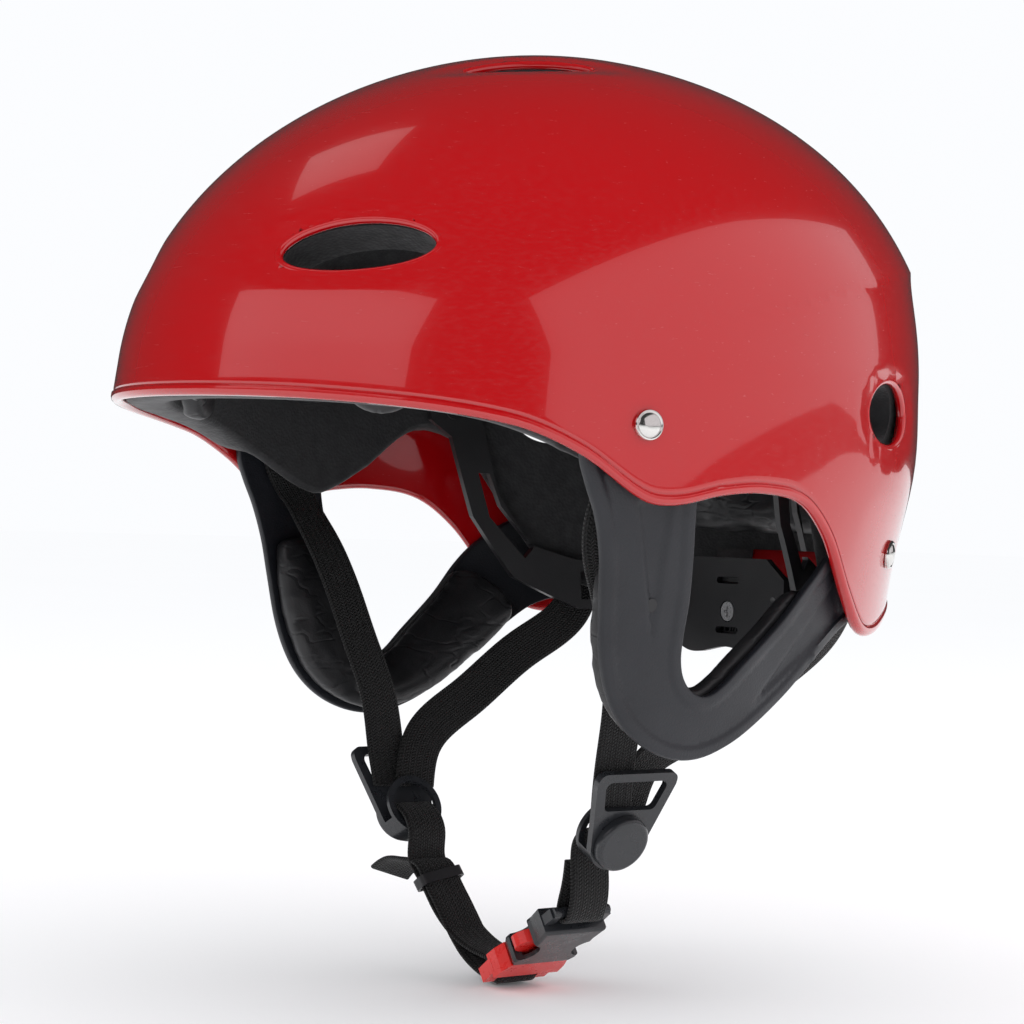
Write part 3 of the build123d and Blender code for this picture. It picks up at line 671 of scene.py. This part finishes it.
def make_liner():
    rim = curve_through(liner_rim)

    def outer(p):
        front = (smooth(p.y, -60 * mm, -54 * mm) * (1 - smooth(p.y, 4 * mm, 10 * mm))
                 * (1 - smooth(p.z, -9 * mm, -6 * mm)))
        rear = (smooth(p.y, 42 * mm, 48 * mm) * (1 - smooth(p.y, 106 * mm, 114 * mm))
                * (1 - smooth(p.z, -42 * mm, -39 * mm)))
        return liner_outer + (pocket_depth - liner_outer) * max(front, rear)

    def inner(p):
        channel = bump(abs(p.x) - 36 * mm, 5 * mm) * smooth(p.z, 25 * mm, 45 * mm)
        return liner_inner - 2.5 * mm * channel

    liner = wall("eva_liner", outer, inner, rim, lambda p, inside, above: 0.0,
                 columns=220, rows=44, material=eva_black)
    for vent in all_vents:
        cut(liner, plug(vent, -1.6 * mm))
    notch_size = Vector((54, 80, 80)) * mm
    notch_centre = Vector((0, 130, -96)) * mm
    bm = bmesh.new()
    bmesh.ops.create_cube(bm, size=1.0)
    for v in bm.verts:
        v.co = notch_centre + v.co * notch_size
    mesh = bpy.data.meshes.new("notch")
    bm.to_mesh(mesh)
    bm.free()
    cut(liner, new_object("notch", mesh))
    shade(liner, 45)
    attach(liner, "helmet")
    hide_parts("eva_liner")
    return liner


make_shell()
make_liner()


# ---- pads
def inflated(node, name, body, voxel, cap, hold=None, edge_share=1.0, droop=None):
    """Soft pad: the CAD solid remeshed, puffed up as cloth, its swell capped, then smoothed.
    hold(point) gives 1 where the cover is stitched down, edge_share is how much of the swell
    stays in the side view, and droop(point) moves a point of the finished cover."""
    pad = copy_of(node, name)
    clean_mesh(pad)
    remesh = pad.modifiers.new("remesh", "REMESH")
    remesh.mode = "VOXEL"
    remesh.voxel_size = voxel
    apply_modifiers(pad)
    relax = pad.modifiers.new("relax", "SMOOTH")
    relax.factor = 0.5
    relax.iterations = 6
    apply_modifiers(pad)
    start = [v.co.copy() for v in pad.data.vertices]
    group = pad.vertex_groups.new(name="stitched")
    for v in pad.data.vertices:
        group.add([v.index], hold(v.co) if hold else 0.0, "REPLACE")
    cloth = pad.modifiers.new("cloth", "CLOTH")
    settings = cloth.settings
    settings.quality = 6
    settings.mass = 0.3
    settings.tension_stiffness = 12
    settings.compression_stiffness = 12
    settings.shear_stiffness = 4
    settings.bending_stiffness = 0.3
    settings.use_pressure = True
    settings.uniform_pressure_force = 4.0
    settings.vertex_group_mass = "stitched"
    settings.pin_stiffness = 1
    settings.effector_weights.gravity = 0
    last_frame = 20
    cloth.point_cache.frame_start = 1
    cloth.point_cache.frame_end = last_frame
    for number in range(1, last_frame + 1):
        bpy.context.scene.frame_set(number)
    apply_modifiers(pad)
    bpy.context.scene.frame_set(1)
    for v, was in zip(pad.data.vertices, start):
        shift = v.co - was
        shift = Vector((shift.x, shift.y * edge_share, shift.z * edge_share))
        if shift.length > cap:
            shift = shift.normalized() * cap
        v.co = was + shift
    if droop:
        for v in pad.data.vertices:
            v.co += droop(v.co)
    finer = pad.modifiers.new("finer", "SUBSURF")
    finer.levels = 1
    finer.render_levels = 1
    apply_modifiers(pad)
    pad.data.materials.clear()
    pad.data.materials.append(leatherette)
    shade(pad)
    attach(pad, body)
    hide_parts(node)
    return pad


puff_wide = 22 * mm
stitch_half = 1.6 * mm
puff_hang = 7.0 * mm


def brow_stitch(p):
    """Stitched lines between the puffs of the brow pad."""
    return float(any(abs(p.x - k * puff_wide) < stitch_half for k in (-2, -1, 0, 1, 2)))


def brow_droop(p):
    """The puffs hang as scallops under the brow pad's lower edge."""
    share = (p.x / puff_wide) % 1.0
    low = 1 - smooth(p.z, -12 * mm, 6 * mm)
    return Vector((0, 0, -puff_hang * math.sin(math.pi * share) * low))


inflated("brow_pad", "brow_pad_soft", "helmet", 2.6 * mm, 3.0 * mm, brow_stitch, droop=brow_droop)
for word in ("crown_pad", "nape_pad", "side_pad_left", "side_pad_right"):
    inflated(word, f"{word}_soft", "helmet", 2.8 * mm, 2.4 * mm)


# ---- ear guards
guard_lean = 0.219
guard_tilt = -0.327
guard_fold = -41.1 * mm
fold_half = 5.9 * mm
guard_depth = 3.5 * mm
guard_thick = 3.0 * mm


def hanging_x(y, z, depth):
    """Half width of the hanging wall at a side-view place."""
    shift = crown_y + lean * (guard_fold - rise)
    rear = y - shift - lean * (z - guard_fold)
    stretch = (reach_rear if rear > 0 else reach_front) / half_width
    local_y = rear / stretch
    local_z = z - guard_fold - guard_tilt * stretch * local_y
    radius = half_width - depth
    if local_z < -fold_half:
        radius += guard_lean * local_z
    elif local_z < fold_half:
        radius -= guard_lean * (fold_half - local_z) ** 2 / (4 * fold_half)
    return math.sqrt(max(radius**2 - local_y**2, 0.0))


guard_points = [(-44, -10), (-47.5, -15), (-48, -29), (-45.5, -36.5), (-41.6, -45.5), (-38.4, -57),
                (-36.6, -70), (-34.4, -85.5), (-31.4, -95.5), (-27.5, -103), (-22.3, -109.1),
                (-16, -113.8), (-7.9, -117.4), (0.5, -119.1), (8.9, -118.6), (17.3, -116),
                (25.7, -112), (43, -100.3), (61.1, -85.2), (70.5, -79), (82, -75.5), (96, -72.5),
                (102.5, -66), (103, -56), (98, -45), (84, -43.5), (66, -47.5), (53, -56),
                (43.6, -65), (34, -76), (18.9, -90), (12.7, -95.8), (8.1, -98.8), (4.1, -99.4),
                (-0.4, -97.7), (-4.3, -93.8), (-6.4, -88.5), (-7, -82), (-7, -70), (-8.3, -56),
                (-9.6, -46), (-10.6, -30), (-10.8, -15), (-14, -10), (-29, -8.8)]


def closed_curve(points, spacing):
    """Rounded closed outline through points, evenly spaced."""
    count = len(points)
    dense = []
    for i in range(count):
        p0, p1, p2, p3 = (Vector(points[(i + k) % count]) for k in (-1, 0, 1, 2))
        d1, d2, d3 = ((b - a).length ** 0.5 for a, b in ((p0, p1), (p1, p2), (p2, p3)))
        m1 = ((p1 - p0) / d1 - (p2 - p0) / (d1 + d2) + (p2 - p1) / d2) * d2
        m2 = ((p2 - p1) / d2 - (p3 - p1) / (d2 + d3) + (p3 - p2) / d3) * d2
        for t in (s / 24 for s in range(24)):
            dense.append(hermite(p1, p2, m1, m2, t))
    lengths = [0.0]
    for i in range(len(dense)):
        lengths.append(lengths[-1] + (dense[(i + 1) % len(dense)] - dense[i]).length)
    total = lengths[-1]
    steps = int(total / spacing)
    out, at = [], 0
    for k in range(steps):
        goal = total * k / steps
        while lengths[at + 1] < goal:
            at += 1
        t = (goal - lengths[at]) / (lengths[at + 1] - lengths[at])
        out.append(dense[at].lerp(dense[(at + 1) % len(dense)], t))
    return out


def edge_distance(p, loop):
    """Distance from a flat place to the nearest side of a loop."""
    best = math.inf
    count = len(loop)
    for i in range(count):
        a, b = loop[i], loop[(i + 1) % count]
        ab = b - a
        t = min(max((p - a).dot(ab) / ab.length_squared, 0), 1)
        best = min(best, (p - a - ab * t).length_squared)
    return math.sqrt(best)


def inside_loop(p, loop):
    """Whether a flat place is inside a loop, by counting crossings."""
    odd = False
    count = len(loop)
    for i in range(count):
        a, b = loop[i], loop[(i + 1) % count]
        if (a.y > p.y) != (b.y > p.y):
            if p.x < a.x + (p.y - a.y) * (b.x - a.x) / (b.y - a.y):
                odd = not odd
    return odd


def plate(name, loop, grid, insets, place, material):
    """Two-faced plate over a flat outline. place(point, edge distance, face) gives the 3-D
    point, face 1 outside, 0 inside."""
    count = len(loop)
    flat = list(loop)
    near = [0.0] * count
    edges = [(k, (k + 1) % count) for k in range(count)]
    area = sum(a.cross(b) for a, b in zip(loop, loop[1:] + loop[:1]))
    turn = -1 if area > 0 else 1
    for inset in insets:
        for k in range(count):
            ahead = (loop[(k + 1) % count] - loop[k - 1]).normalized()
            p = loop[k] + Vector((ahead.y, -ahead.x)) * inset * turn
            if edge_distance(p, loop) > inset * 0.93:
                flat.append(p)
                near.append(inset)
    low_x, high_x = min(p.x for p in loop), max(p.x for p in loop)
    low_y, high_y = min(p.y for p in loop), max(p.y for p in loop)
    row = 0
    y = low_y
    while y < high_y:
        x = low_x + (row % 2) * grid / 2
        while x < high_x:
            p = Vector((x, y))
            if inside_loop(p, loop):
                d = edge_distance(p, loop)
                if d > insets[-1] + grid * 0.55:
                    flat.append(p)
                    near.append(d)
            x += grid
        y += grid * 0.866       # rows of even triangles
        row += 1
    made = delaunay_2d_cdt(flat, edges, [], 0, 1e-7)
    points, triangles, origins = made[0], made[2], made[3]
    distance = [near[o[0]] if o else 0.0 for o in origins]
    keep = []
    for tri in triangles:
        mid = sum((points[i] for i in tri), Vector((0, 0))) / 3
        if inside_loop(mid, loop):
            keep.append(tuple(tri))
    count = len(points)
    verts = [place(p, d, 1) for p, d in zip(points, distance)]
    verts += [place(p, d, 0) for p, d in zip(points, distance)]
    faces = list(keep) + [tuple(count + i for i in reversed(tri)) for tri in keep]
    sides = {(tri[i], tri[(i + 1) % 3]): None for tri in keep for i in range(3)}
    faces += [(b, a, count + a, count + b) for a, b in sides if (b, a) not in sides]
    obj = mesh_object(name, verts, faces, material)
    clean_mesh(obj, weld=0.0)
    return obj


def pts(points):
    """Side-view places in mm as flat vectors in metres."""
    return [Vector((y * mm, z * mm)) for y, z in points]


def facet(p, corners):
    """How far inside a long pointed facet a place is, 0 outside and 1 well inside."""
    if not inside_loop(p, corners):
        return 0.0
    return smooth(edge_distance(p, corners), 0.0, 1.5 * mm)


guard_facets = [pts([(-30, -41), (-17.6, -39), (-17.3, -87)]),
                pts([(58, -64), (69, -75.5), (26, -104)])]
guard_nub = Vector((54.5, -88.5)) * mm


def ear_crown(p):
    """Brings a point of an ear pad's cover out to a crown that dies away at the guard's edge."""
    away = edge_distance(Vector((p.y, p.z)), crown_outline)
    rounded = math.sqrt(1 - (1 - min(away / crown_run, 1.0)) ** 2)
    side = math.copysign(1.0, p.x)
    seat = hanging_x(p.y, p.z, guard_depth + guard_thick)
    sunk = seat - abs(p.x)
    return Vector((side * max(sunk - crown_height * rounded, 0.0), 0, 0))


crown_run = 11 * mm
crown_height = 10.5 * mm
crown_outline = closed_curve(pts(guard_points), 4.0 * mm)
for word in ("left", "right"):
    inflated(f"ear_pad_{word}", f"ear_pad_{word}_soft", f"guard_{word}", 2.2 * mm, 2.6 * mm,
             edge_share=0.25, droop=ear_crown)


edge_roll = 0.9 * mm
groove_from, groove_to = 3.7 * mm, 4.3 * mm
field_sunk = 0.55 * mm
facet_sunk = 1.1 * mm
nub_height = 0.8 * mm


def make_guard(word, side):
    outline = closed_curve(pts(guard_points), 1.3 * mm)

    def place(p, d, face):
        x = hanging_x(p.x, p.y, guard_depth if face else guard_depth + guard_thick)
        if d < edge_roll:
            slip = edge_roll - math.sqrt(max(edge_roll**2 - (edge_roll - d) ** 2, 0))
            x += -slip if face else slip
        elif face:
            x -= field_sunk * smooth(d, groove_from, groove_to)
            x -= sum(facet_sunk * facet(p, corners) for corners in guard_facets)
            x += nub_height * (1 - smooth((p - guard_nub).length, 1.0 * mm, 1.9 * mm))
        return Vector((side * x, p.x, p.y))

    insets = (0.2 * mm, 0.5 * mm, edge_roll, 2.4 * mm, groove_from, groove_to)
    guard = plate(f"ear_guard_{word}_form", outline, 1.2 * mm, insets, place, charcoal)
    shade(guard, 50)
    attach(guard, f"guard_{word}")
    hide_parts(f"ear_guard_{word}")
    return guard


make_guard("left", left)
make_guard("right", right)


# ---- rivets
def lathe(name, profile, base, way, material, sides=48):
    """Turned piece. profile is (radius, height) from the axis out and round."""
    a = way.orthogonal().normalized()
    b = way.cross(a)
    verts = []
    for radius, height in profile:
        for k in range(sides):
            t = 2 * math.pi * k / sides
            verts.append(base + way * height + (a * math.cos(t) + b * math.sin(t)) * radius)
    obj = mesh_object(name, verts, band_faces(len(profile), sides), material)
    clean_mesh(obj)
    return obj


def make_rivets():
    profile = [(0.0, 2.2), (1.0, 2.18), (2.2, 2.0), (3.2, 1.6), (3.55, 1.35), (3.75, 1.35),
               (4.0, 1.55), (4.35, 1.5), (4.6, 1.1), (4.65, 0.6), (4.6, 0.05), (2.2, 0.0),
               (2.2, -10.9), (0.0, -11.0)]
    heads = []
    for side in (left, right):
        for spot in rivet_spots:
            centre = skin(side, spot)
            way = outward(centre)
            lift = shell_swell(centre)
            scaled = [(r * mm + 1e-6, h * mm + (lift if h > -1 else 0)) for r, h in profile]
            heads.append(lathe("rivet", scaled, centre, way, nickel))
    rivets = joined("rivet_heads", heads)
    shade(rivets, 35)
    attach(rivets, "helmet")
    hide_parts("shell_rivets")


make_rivets()


# ---- webbing
strap_wide = 15.0 * mm
strap_thick = 1.6 * mm
selvedge = 0.9 * mm
strap_depth = 8.2 * mm


def spline(points, start=None, end=None, step=1.5 * mm):
    """Cubic through points with chord-length spacing, sampled evenly. Ends are free unless
    a direction is given."""
    points = [Vector(p) for p in points]
    count = len(points)
    h = [(b - a).length for a, b in zip(points, points[1:])]
    lower, diag, upper = [0.0] * count, [1.0] * count, [0.0] * count
    rhs = [Vector((0, 0, 0)) for _ in range(count)]
    if start is None:
        diag[0], upper[0] = 2.0, 1.0
        rhs[0] = (points[1] - points[0]) * (3 / h[0])
    else:
        rhs[0] = Vector(start).normalized()
    if end is None:
        diag[-1], lower[-1] = 2.0, 1.0
        rhs[-1] = (points[-1] - points[-2]) * (3 / h[-1])
    else:
        rhs[-1] = Vector(end).normalized()
    for i in range(1, count - 1):
        lower[i], diag[i], upper[i] = h[i], 2 * (h[i - 1] + h[i]), h[i - 1]
        rhs[i] = ((points[i] - points[i - 1]) * (3 * h[i] / h[i - 1])
                  + (points[i + 1] - points[i]) * (3 * h[i - 1] / h[i]))
    for i in range(1, count):
        w = lower[i] / diag[i - 1]
        diag[i] -= w * upper[i - 1]
        rhs[i] = rhs[i] - rhs[i - 1] * w
    tangents = [None] * count
    tangents[-1] = rhs[-1] / diag[-1]
    for i in range(count - 2, -1, -1):
        tangents[i] = (rhs[i] - tangents[i + 1] * upper[i]) / diag[i]
    out = []
    for i in range(count - 1):
        steps = max(int(h[i] / step), 3)
        for t in (s / steps for s in range(steps)):
            out.append(hermite(points[i], points[i + 1], tangents[i] * h[i],
                               tangents[i + 1] * h[i], t))
    out.append(points[-1].copy())
    return out


tail_twist = Vector((0.15, 0, -0.4))


def strap(name, path, node, body, facing=None, far_end=None, twist_from=1.0):
    """Woven strap with soft edges along a path, and its lay for the weave."""
    half, thick = strap_wide / 2, strap_thick / 2
    section = []
    for k in range(11):
        section.append((-half + selvedge + (strap_wide - 2 * selvedge) * k / 10, thick))
    for k in range(1, 6):
        t = math.pi / 2 - math.pi * k / 6
        section.append((half - selvedge + selvedge * math.cos(t), thick * math.sin(t)))
    section += [(-x, -z) for x, z in section]
    count, sides = len(path), len(section)
    verts, lay = [], []
    along = 0.0
    length = sum((b - a).length for a, b in zip(path, path[1:]))
    for i, p in enumerate(path):
        if i:
            along += (p - path[i - 1]).length
        ahead = (path[min(i + 1, count - 1)] - path[max(i - 1, 0)]).normalized()
        turned = max(along / length - twist_from, 0.0) / max(1.0 - twist_from, 0.01)
        across = fore_aft + tail_twist * turned
        if facing:
            u = i / (count - 1)
            across = (facing * (1 - u) + far_end * u).cross(ahead)
        across = (across - ahead * across.dot(ahead)).normalized()
        normal = ahead.cross(across)
        for x, z in section:
            wave = noise.noise(Vector((along * 60, x * 60, 3.0))) * 0.12 * mm
            verts.append(p + across * x + normal * (z + wave))
            lay.append((along, x, 1.0 if z > 0 else 0.0))
    faces = band_faces(count, sides)
    faces.append(tuple(reversed(range(sides))))
    faces.append(tuple((count - 1) * sides + k for k in range(sides)))
    obj = mesh_object(name, verts, faces, webbing, 60)
    attribute = obj.data.attributes.new("lay", "FLOAT_VECTOR", "POINT")
    for i, value in enumerate(lay):
        attribute.data[i].vector = value
    clean_mesh(obj, weld=0.0)
    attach(obj, body)
    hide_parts(node)
    return obj


class LocalPlane:
    """Plane with its own x, y and height, as in the CAD model."""

    def __init__(self, origin, x_way, out):
        self.origin = Vector(origin) * mm
        self.out = Vector(out).normalized()
        x_way = Vector(x_way)
        self.x_way = (x_way - self.out * x_way.dot(self.out)).normalized()
        self.y_way = self.out.cross(self.x_way)

    def at(self, x, y, z):
        return self.origin + (self.x_way * x + self.y_way * y + self.out * z) * mm


dividers = {"left": LocalPlane((59, 5, -136), (0, 1, 0), (0.907, 0, -0.42)),
            "right": LocalPlane((-58, -4, -139.5), (0, -1, 0), (-0.88, 0, -0.475))}
front_route = {"left": [(93.5, -33, -49), (81, -21, -66), (69, -5, -100)],
               "right": [(-100.3, -24.5, -39.5), (-94, -22.5, -48), (-85, -20.1, -59.7),
                         (-78, -16.2, -75.4), (-71, -12.8, -93), (-65, -8.6, -111.6)]}
rear_route = {"left": [(72, 83, -74), (69.5, 62, -93), (65.5, 28, -113)],
              "right": [(-72, 81.5, -77), (-69.5, 57, -94.5), (-66, 29, -112.5)]}
turn_aside = {"front": {"left": 7.0, "right": 3.5}, "rear": {"left": 7.0, "right": 10.0}}
for word, side in (("left", left), ("right", right)):
    body = "helmet" if word == "left" else "harness_right"
    plane = dividers[word]
    for kind, spot, route, layer, lean_in in (
            ("front", rivet_spots[0], front_route[word], -1.25, 0.30),
            ("rear", rivet_spots[1], rear_route[word], -3.6, 0.12)):
        centre = skin(side, spot)
        way = outward(centre)
        spread = math.hypot(half_width * way.x,
                            (reach_front if kind == "front" else reach_rear) * way.y) / half_width
        hung = centre - way * strap_depth * spread
        down = Vector((0, -lean, -1)) - way * lean_in * 0.2
        ahead = 1 if (kind == "front") == (word == "left") else -1
        path = spline([hung - down * 6.5 * mm, hung + down * 7 * mm]
                      + [Vector(p) * mm for p in route]
                      + [plane.at(-turn_aside[kind][word] * ahead, 11, layer - 1),
                         plane.at(-4 * ahead, -3, layer)])
        strap(f"{kind}_webbing_{word}", path, f"{kind}_strap_{word}", body, way, plane.out)

slope = math.radians(35)
mouth = Vector((13.9, 5, -189))
buckle = LocalPlane(mouth, (0, 1, 0), (math.sin(slope), 0, -math.cos(slope)))
bar_wrap = 2.8 * mm


def turn_round(centre, first, last, steps=10):
    """Points on the turn of webbing around a cross bar, angles in the XZ plane."""
    points = []
    for k in range(steps + 1):
        t = math.radians(first + (last - first) * k / steps)
        points.append(centre + Vector((math.cos(t), 0, math.sin(t))) * bar_wrap)
    return points


def bezier(a, b, c, d, steps=36):
    return [a * (1 - t)**3 + b * 3 * t * (1 - t)**2 + c * 3 * t**2 * (1 - t) + d * t**3
            for t in (k / steps for k in range(steps))]


bar_left = buckle.at(0, 28.6, 0)
wrap = turn_round(bar_left, -18, -198)
wrap_in = (wrap[1] - wrap[0]).normalized()
wrap_out = (wrap[-1] - wrap[-2]).normalized()
hole = dividers["left"].at(0, -11, -3.4)
hole.y = bar_left.y
path = bezier(hole, hole + Vector((-18, 0, -2)) * mm, wrap[0] - wrap_in * 14 * mm, wrap[0])
path += wrap[:-1]
path += spline([wrap[-1], wrap[-1] + Vector((2.3, 0, 8)) * mm,
                wrap[-1] + Vector((3.6, 0, 16)) * mm], wrap_out, (0.1, 0, 0.99))
strap("chin_webbing_left", path, "chin_strap_left", "helmet")

bar_right = buckle.at(0, -15, 0)
straight_from = Vector((-40, -3, -165)) * mm
straight_to = Vector((-30, 0, -179.5)) * mm
run_down = (straight_to - straight_from).normalized()
off_strap = run_down.cross(fore_aft).normalized()
tail_gap = 2.1


def on_run(distance, off):
    return straight_from + run_down * distance * mm + off_strap * off * mm


wrap = turn_round(bar_right, 80, -100)
path = spline([dividers["right"].at(0, -11, -3.4), dividers["right"].at(0, -23, -9.2),
               on_run(0, 0), on_run(8, 0), on_run(17.9, 0), Vector((-15, 4, -191.5)) * mm,
               wrap[0]], (0.98, 0, 0), wrap[1] - wrap[0])[:-1]
path += wrap[:-1]
path += spline([wrap[-1], Vector((-16, 4, -195.0)) * mm, on_run(17, tail_gap),
                on_run(10, tail_gap), on_run(3.5, tail_gap), Vector((-46, -3.3, -166.4)) * mm,
                Vector((-53, -4.2, -168)) * mm, Vector((-60, -5, -172.5)) * mm],
               wrap[-1] - wrap[-2], (-0.78, 0, -0.62))
strap("chin_webbing_right", path, "chin_strap_right", "harness_right", twist_from=0.88)


# ---- parts kept from the CAD model
def finish_node(node, material, slot, bevel):
    """Material and softened edges for a CAD node that is shown as it is; slot is not used."""
    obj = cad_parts[node]
    obj.data.materials.clear()
    obj.data.materials.append(material)
    mod = obj.modifiers.new("edge", "BEVEL")
    mod.width = bevel
    mod.segments = 2
    mod.limit_method = "ANGLE"
    mod.angle_limit = math.radians(35)


kept_as_they_are = [
    (fit_black, "fit_black", {"band_arm_left": 0.25, "band_arm_right": 0.25, "band_arm_pegs": 0.25,
                              "ear_pad_studs_left": 0.15, "ear_pad_studs_right": 0.15,
                              "rack_left": 0.12, "rack_right": 0.12, "nape_cradle": 0.4,
                              "dial_housing": 0.3, "dial_knob": 0.2, "dial_pinion": 0.1,
                              "strap_keeper": 0.25}),
    (dark_gloss, "buckle_grey", {"strap_divider_left": 0.35, "strap_divider_right": 0.35,
                                 "divider_cap_left": 0.2, "divider_cap_right": 0.2,
                                 "buckle_body": 0.3}),
    (bright_red, "buckle_red", {"buckle_plug": 0.3, "buckle_prong_rear": 0.25,
                                "buckle_prong_front": 0.25}),
    (steel, "steel", {"dial_screw": 0.1, "rivet_washers": 0.12})]
for material, slot, bevels in kept_as_they_are:
    for node, bevel in bevels.items():
        finish_node(node, material, slot, bevel * mm)

# ---- floor, light and camera
floor_look = Look("floor", (0.97, 0.97, 0.97), 1.0, Specular_IOR_Level=0.0)
floor_look.paint(floor_look.noise(3, 2), (0.965, 0.965, 0.965), (0.975, 0.975, 0.975))
floor_z = cad_box[0].z - 1.0 * mm
floor_half = 14.0
floor = mesh_object("floor", [(x * floor_half, y * floor_half, floor_z)
                              for x, y in ((-1, -1), (1, -1), (1, 1), (-1, 1))],
                    [(0, 1, 2, 3)], floor_look.material)

bpy.context.scene.view_settings.view_transform = "Standard"
world = bpy.data.worlds.new("studio")
bpy.context.scene.world = world
world.use_nodes = True
world_tree = world.node_tree
world_glow = world_tree.nodes["Background"]
world_glow.inputs["Color"].default_value = (0.97, 0.98, 1.0, 1)
ray = world_tree.nodes.new("ShaderNodeLightPath")
total_glow = world_tree.nodes.new("ShaderNodeMath")
total_glow.operation = "MULTIPLY"
for number, (kind, others, such) in enumerate((("Is Camera Ray", 1.02, 1.0),
                                               ("Is Glossy Ray", 1.0, 0.05))):
    glow = world_tree.nodes.new("ShaderNodeMapRange")
    glow.inputs["To Min"].default_value = others
    glow.inputs["To Max"].default_value = such
    world_tree.links.new(ray.outputs[kind], glow.inputs["Value"])
    world_tree.links.new(glow.outputs["Result"], total_glow.inputs[number])
world_tree.links.new(total_glow.outputs[0], world_glow.inputs["Strength"])


def softbox(name, turn, height, distance, wide, high, glow, color=(1, 1, 1)):
    """Panel light facing the helmet from an azimuth and elevation. glow is its radiance."""
    turn, height = math.radians(turn), math.radians(height)
    data = bpy.data.lights.new(name, "AREA")
    data.shape = "RECTANGLE"
    data.size, data.size_y = wide, high
    data.energy = glow * math.pi * wide * high
    data.color = color
    lamp = bpy.data.objects.new(name, data)
    bpy.context.scene.collection.objects.link(lamp)
    way = Vector((math.sin(turn) * math.cos(height), -math.cos(turn) * math.cos(height),
                  math.sin(height)))
    lamp.location = way * distance
    lamp.rotation_mode = "QUATERNION"
    lamp.rotation_quaternion = (-way).to_track_quat("-Z", "Y")
    lamp.visible_camera = False


softbox("side_window", 128, 22, 1.4, 3.0, 1.1, 0.72, (1.0, 0.93, 0.97))
softbox("front_window", 12, 25, 1.4, 1.7, 0.55, 0.85, (1.0, 0.93, 0.97))
softbox("top_fill", -60, 62, 1.6, 0.5, 0.5, 0.6)

azimuth, elevation, camera_roll = math.radians(54.51), math.radians(-0.22), math.radians(1.73)
aim = Vector((0, 0, -45.39)) * mm
distance = 819.45 * mm
back = Vector((math.sin(azimuth) * math.cos(elevation), -math.cos(azimuth) * math.cos(elevation),
               math.sin(elevation)))
side_way = Vector((math.cos(azimuth), math.sin(azimuth), 0))
up_way = Vector((-math.sin(azimuth) * math.sin(elevation), math.cos(azimuth) * math.sin(elevation),
                 math.cos(elevation)))
right_way = side_way * math.cos(camera_roll) + up_way * math.sin(camera_roll)
top_way = up_way * math.cos(camera_roll) - side_way * math.sin(camera_roll)
camera_data = bpy.data.cameras.new("camera")
camera_data.sensor_width = 36
camera_data.lens = 86.92
camera_data.clip_start = 0.01
camera = bpy.data.objects.new("camera", camera_data)
bpy.context.scene.collection.objects.link(camera)
place = aim + back * distance
camera.matrix_world = Matrix(((right_way.x, top_way.x, back.x, place.x),
                              (right_way.y, top_way.y, back.y, place.y),
                              (right_way.z, top_way.z, back.z, place.z),
                              (0, 0, 0, 1)))
bpy.context.scene.camera = camera
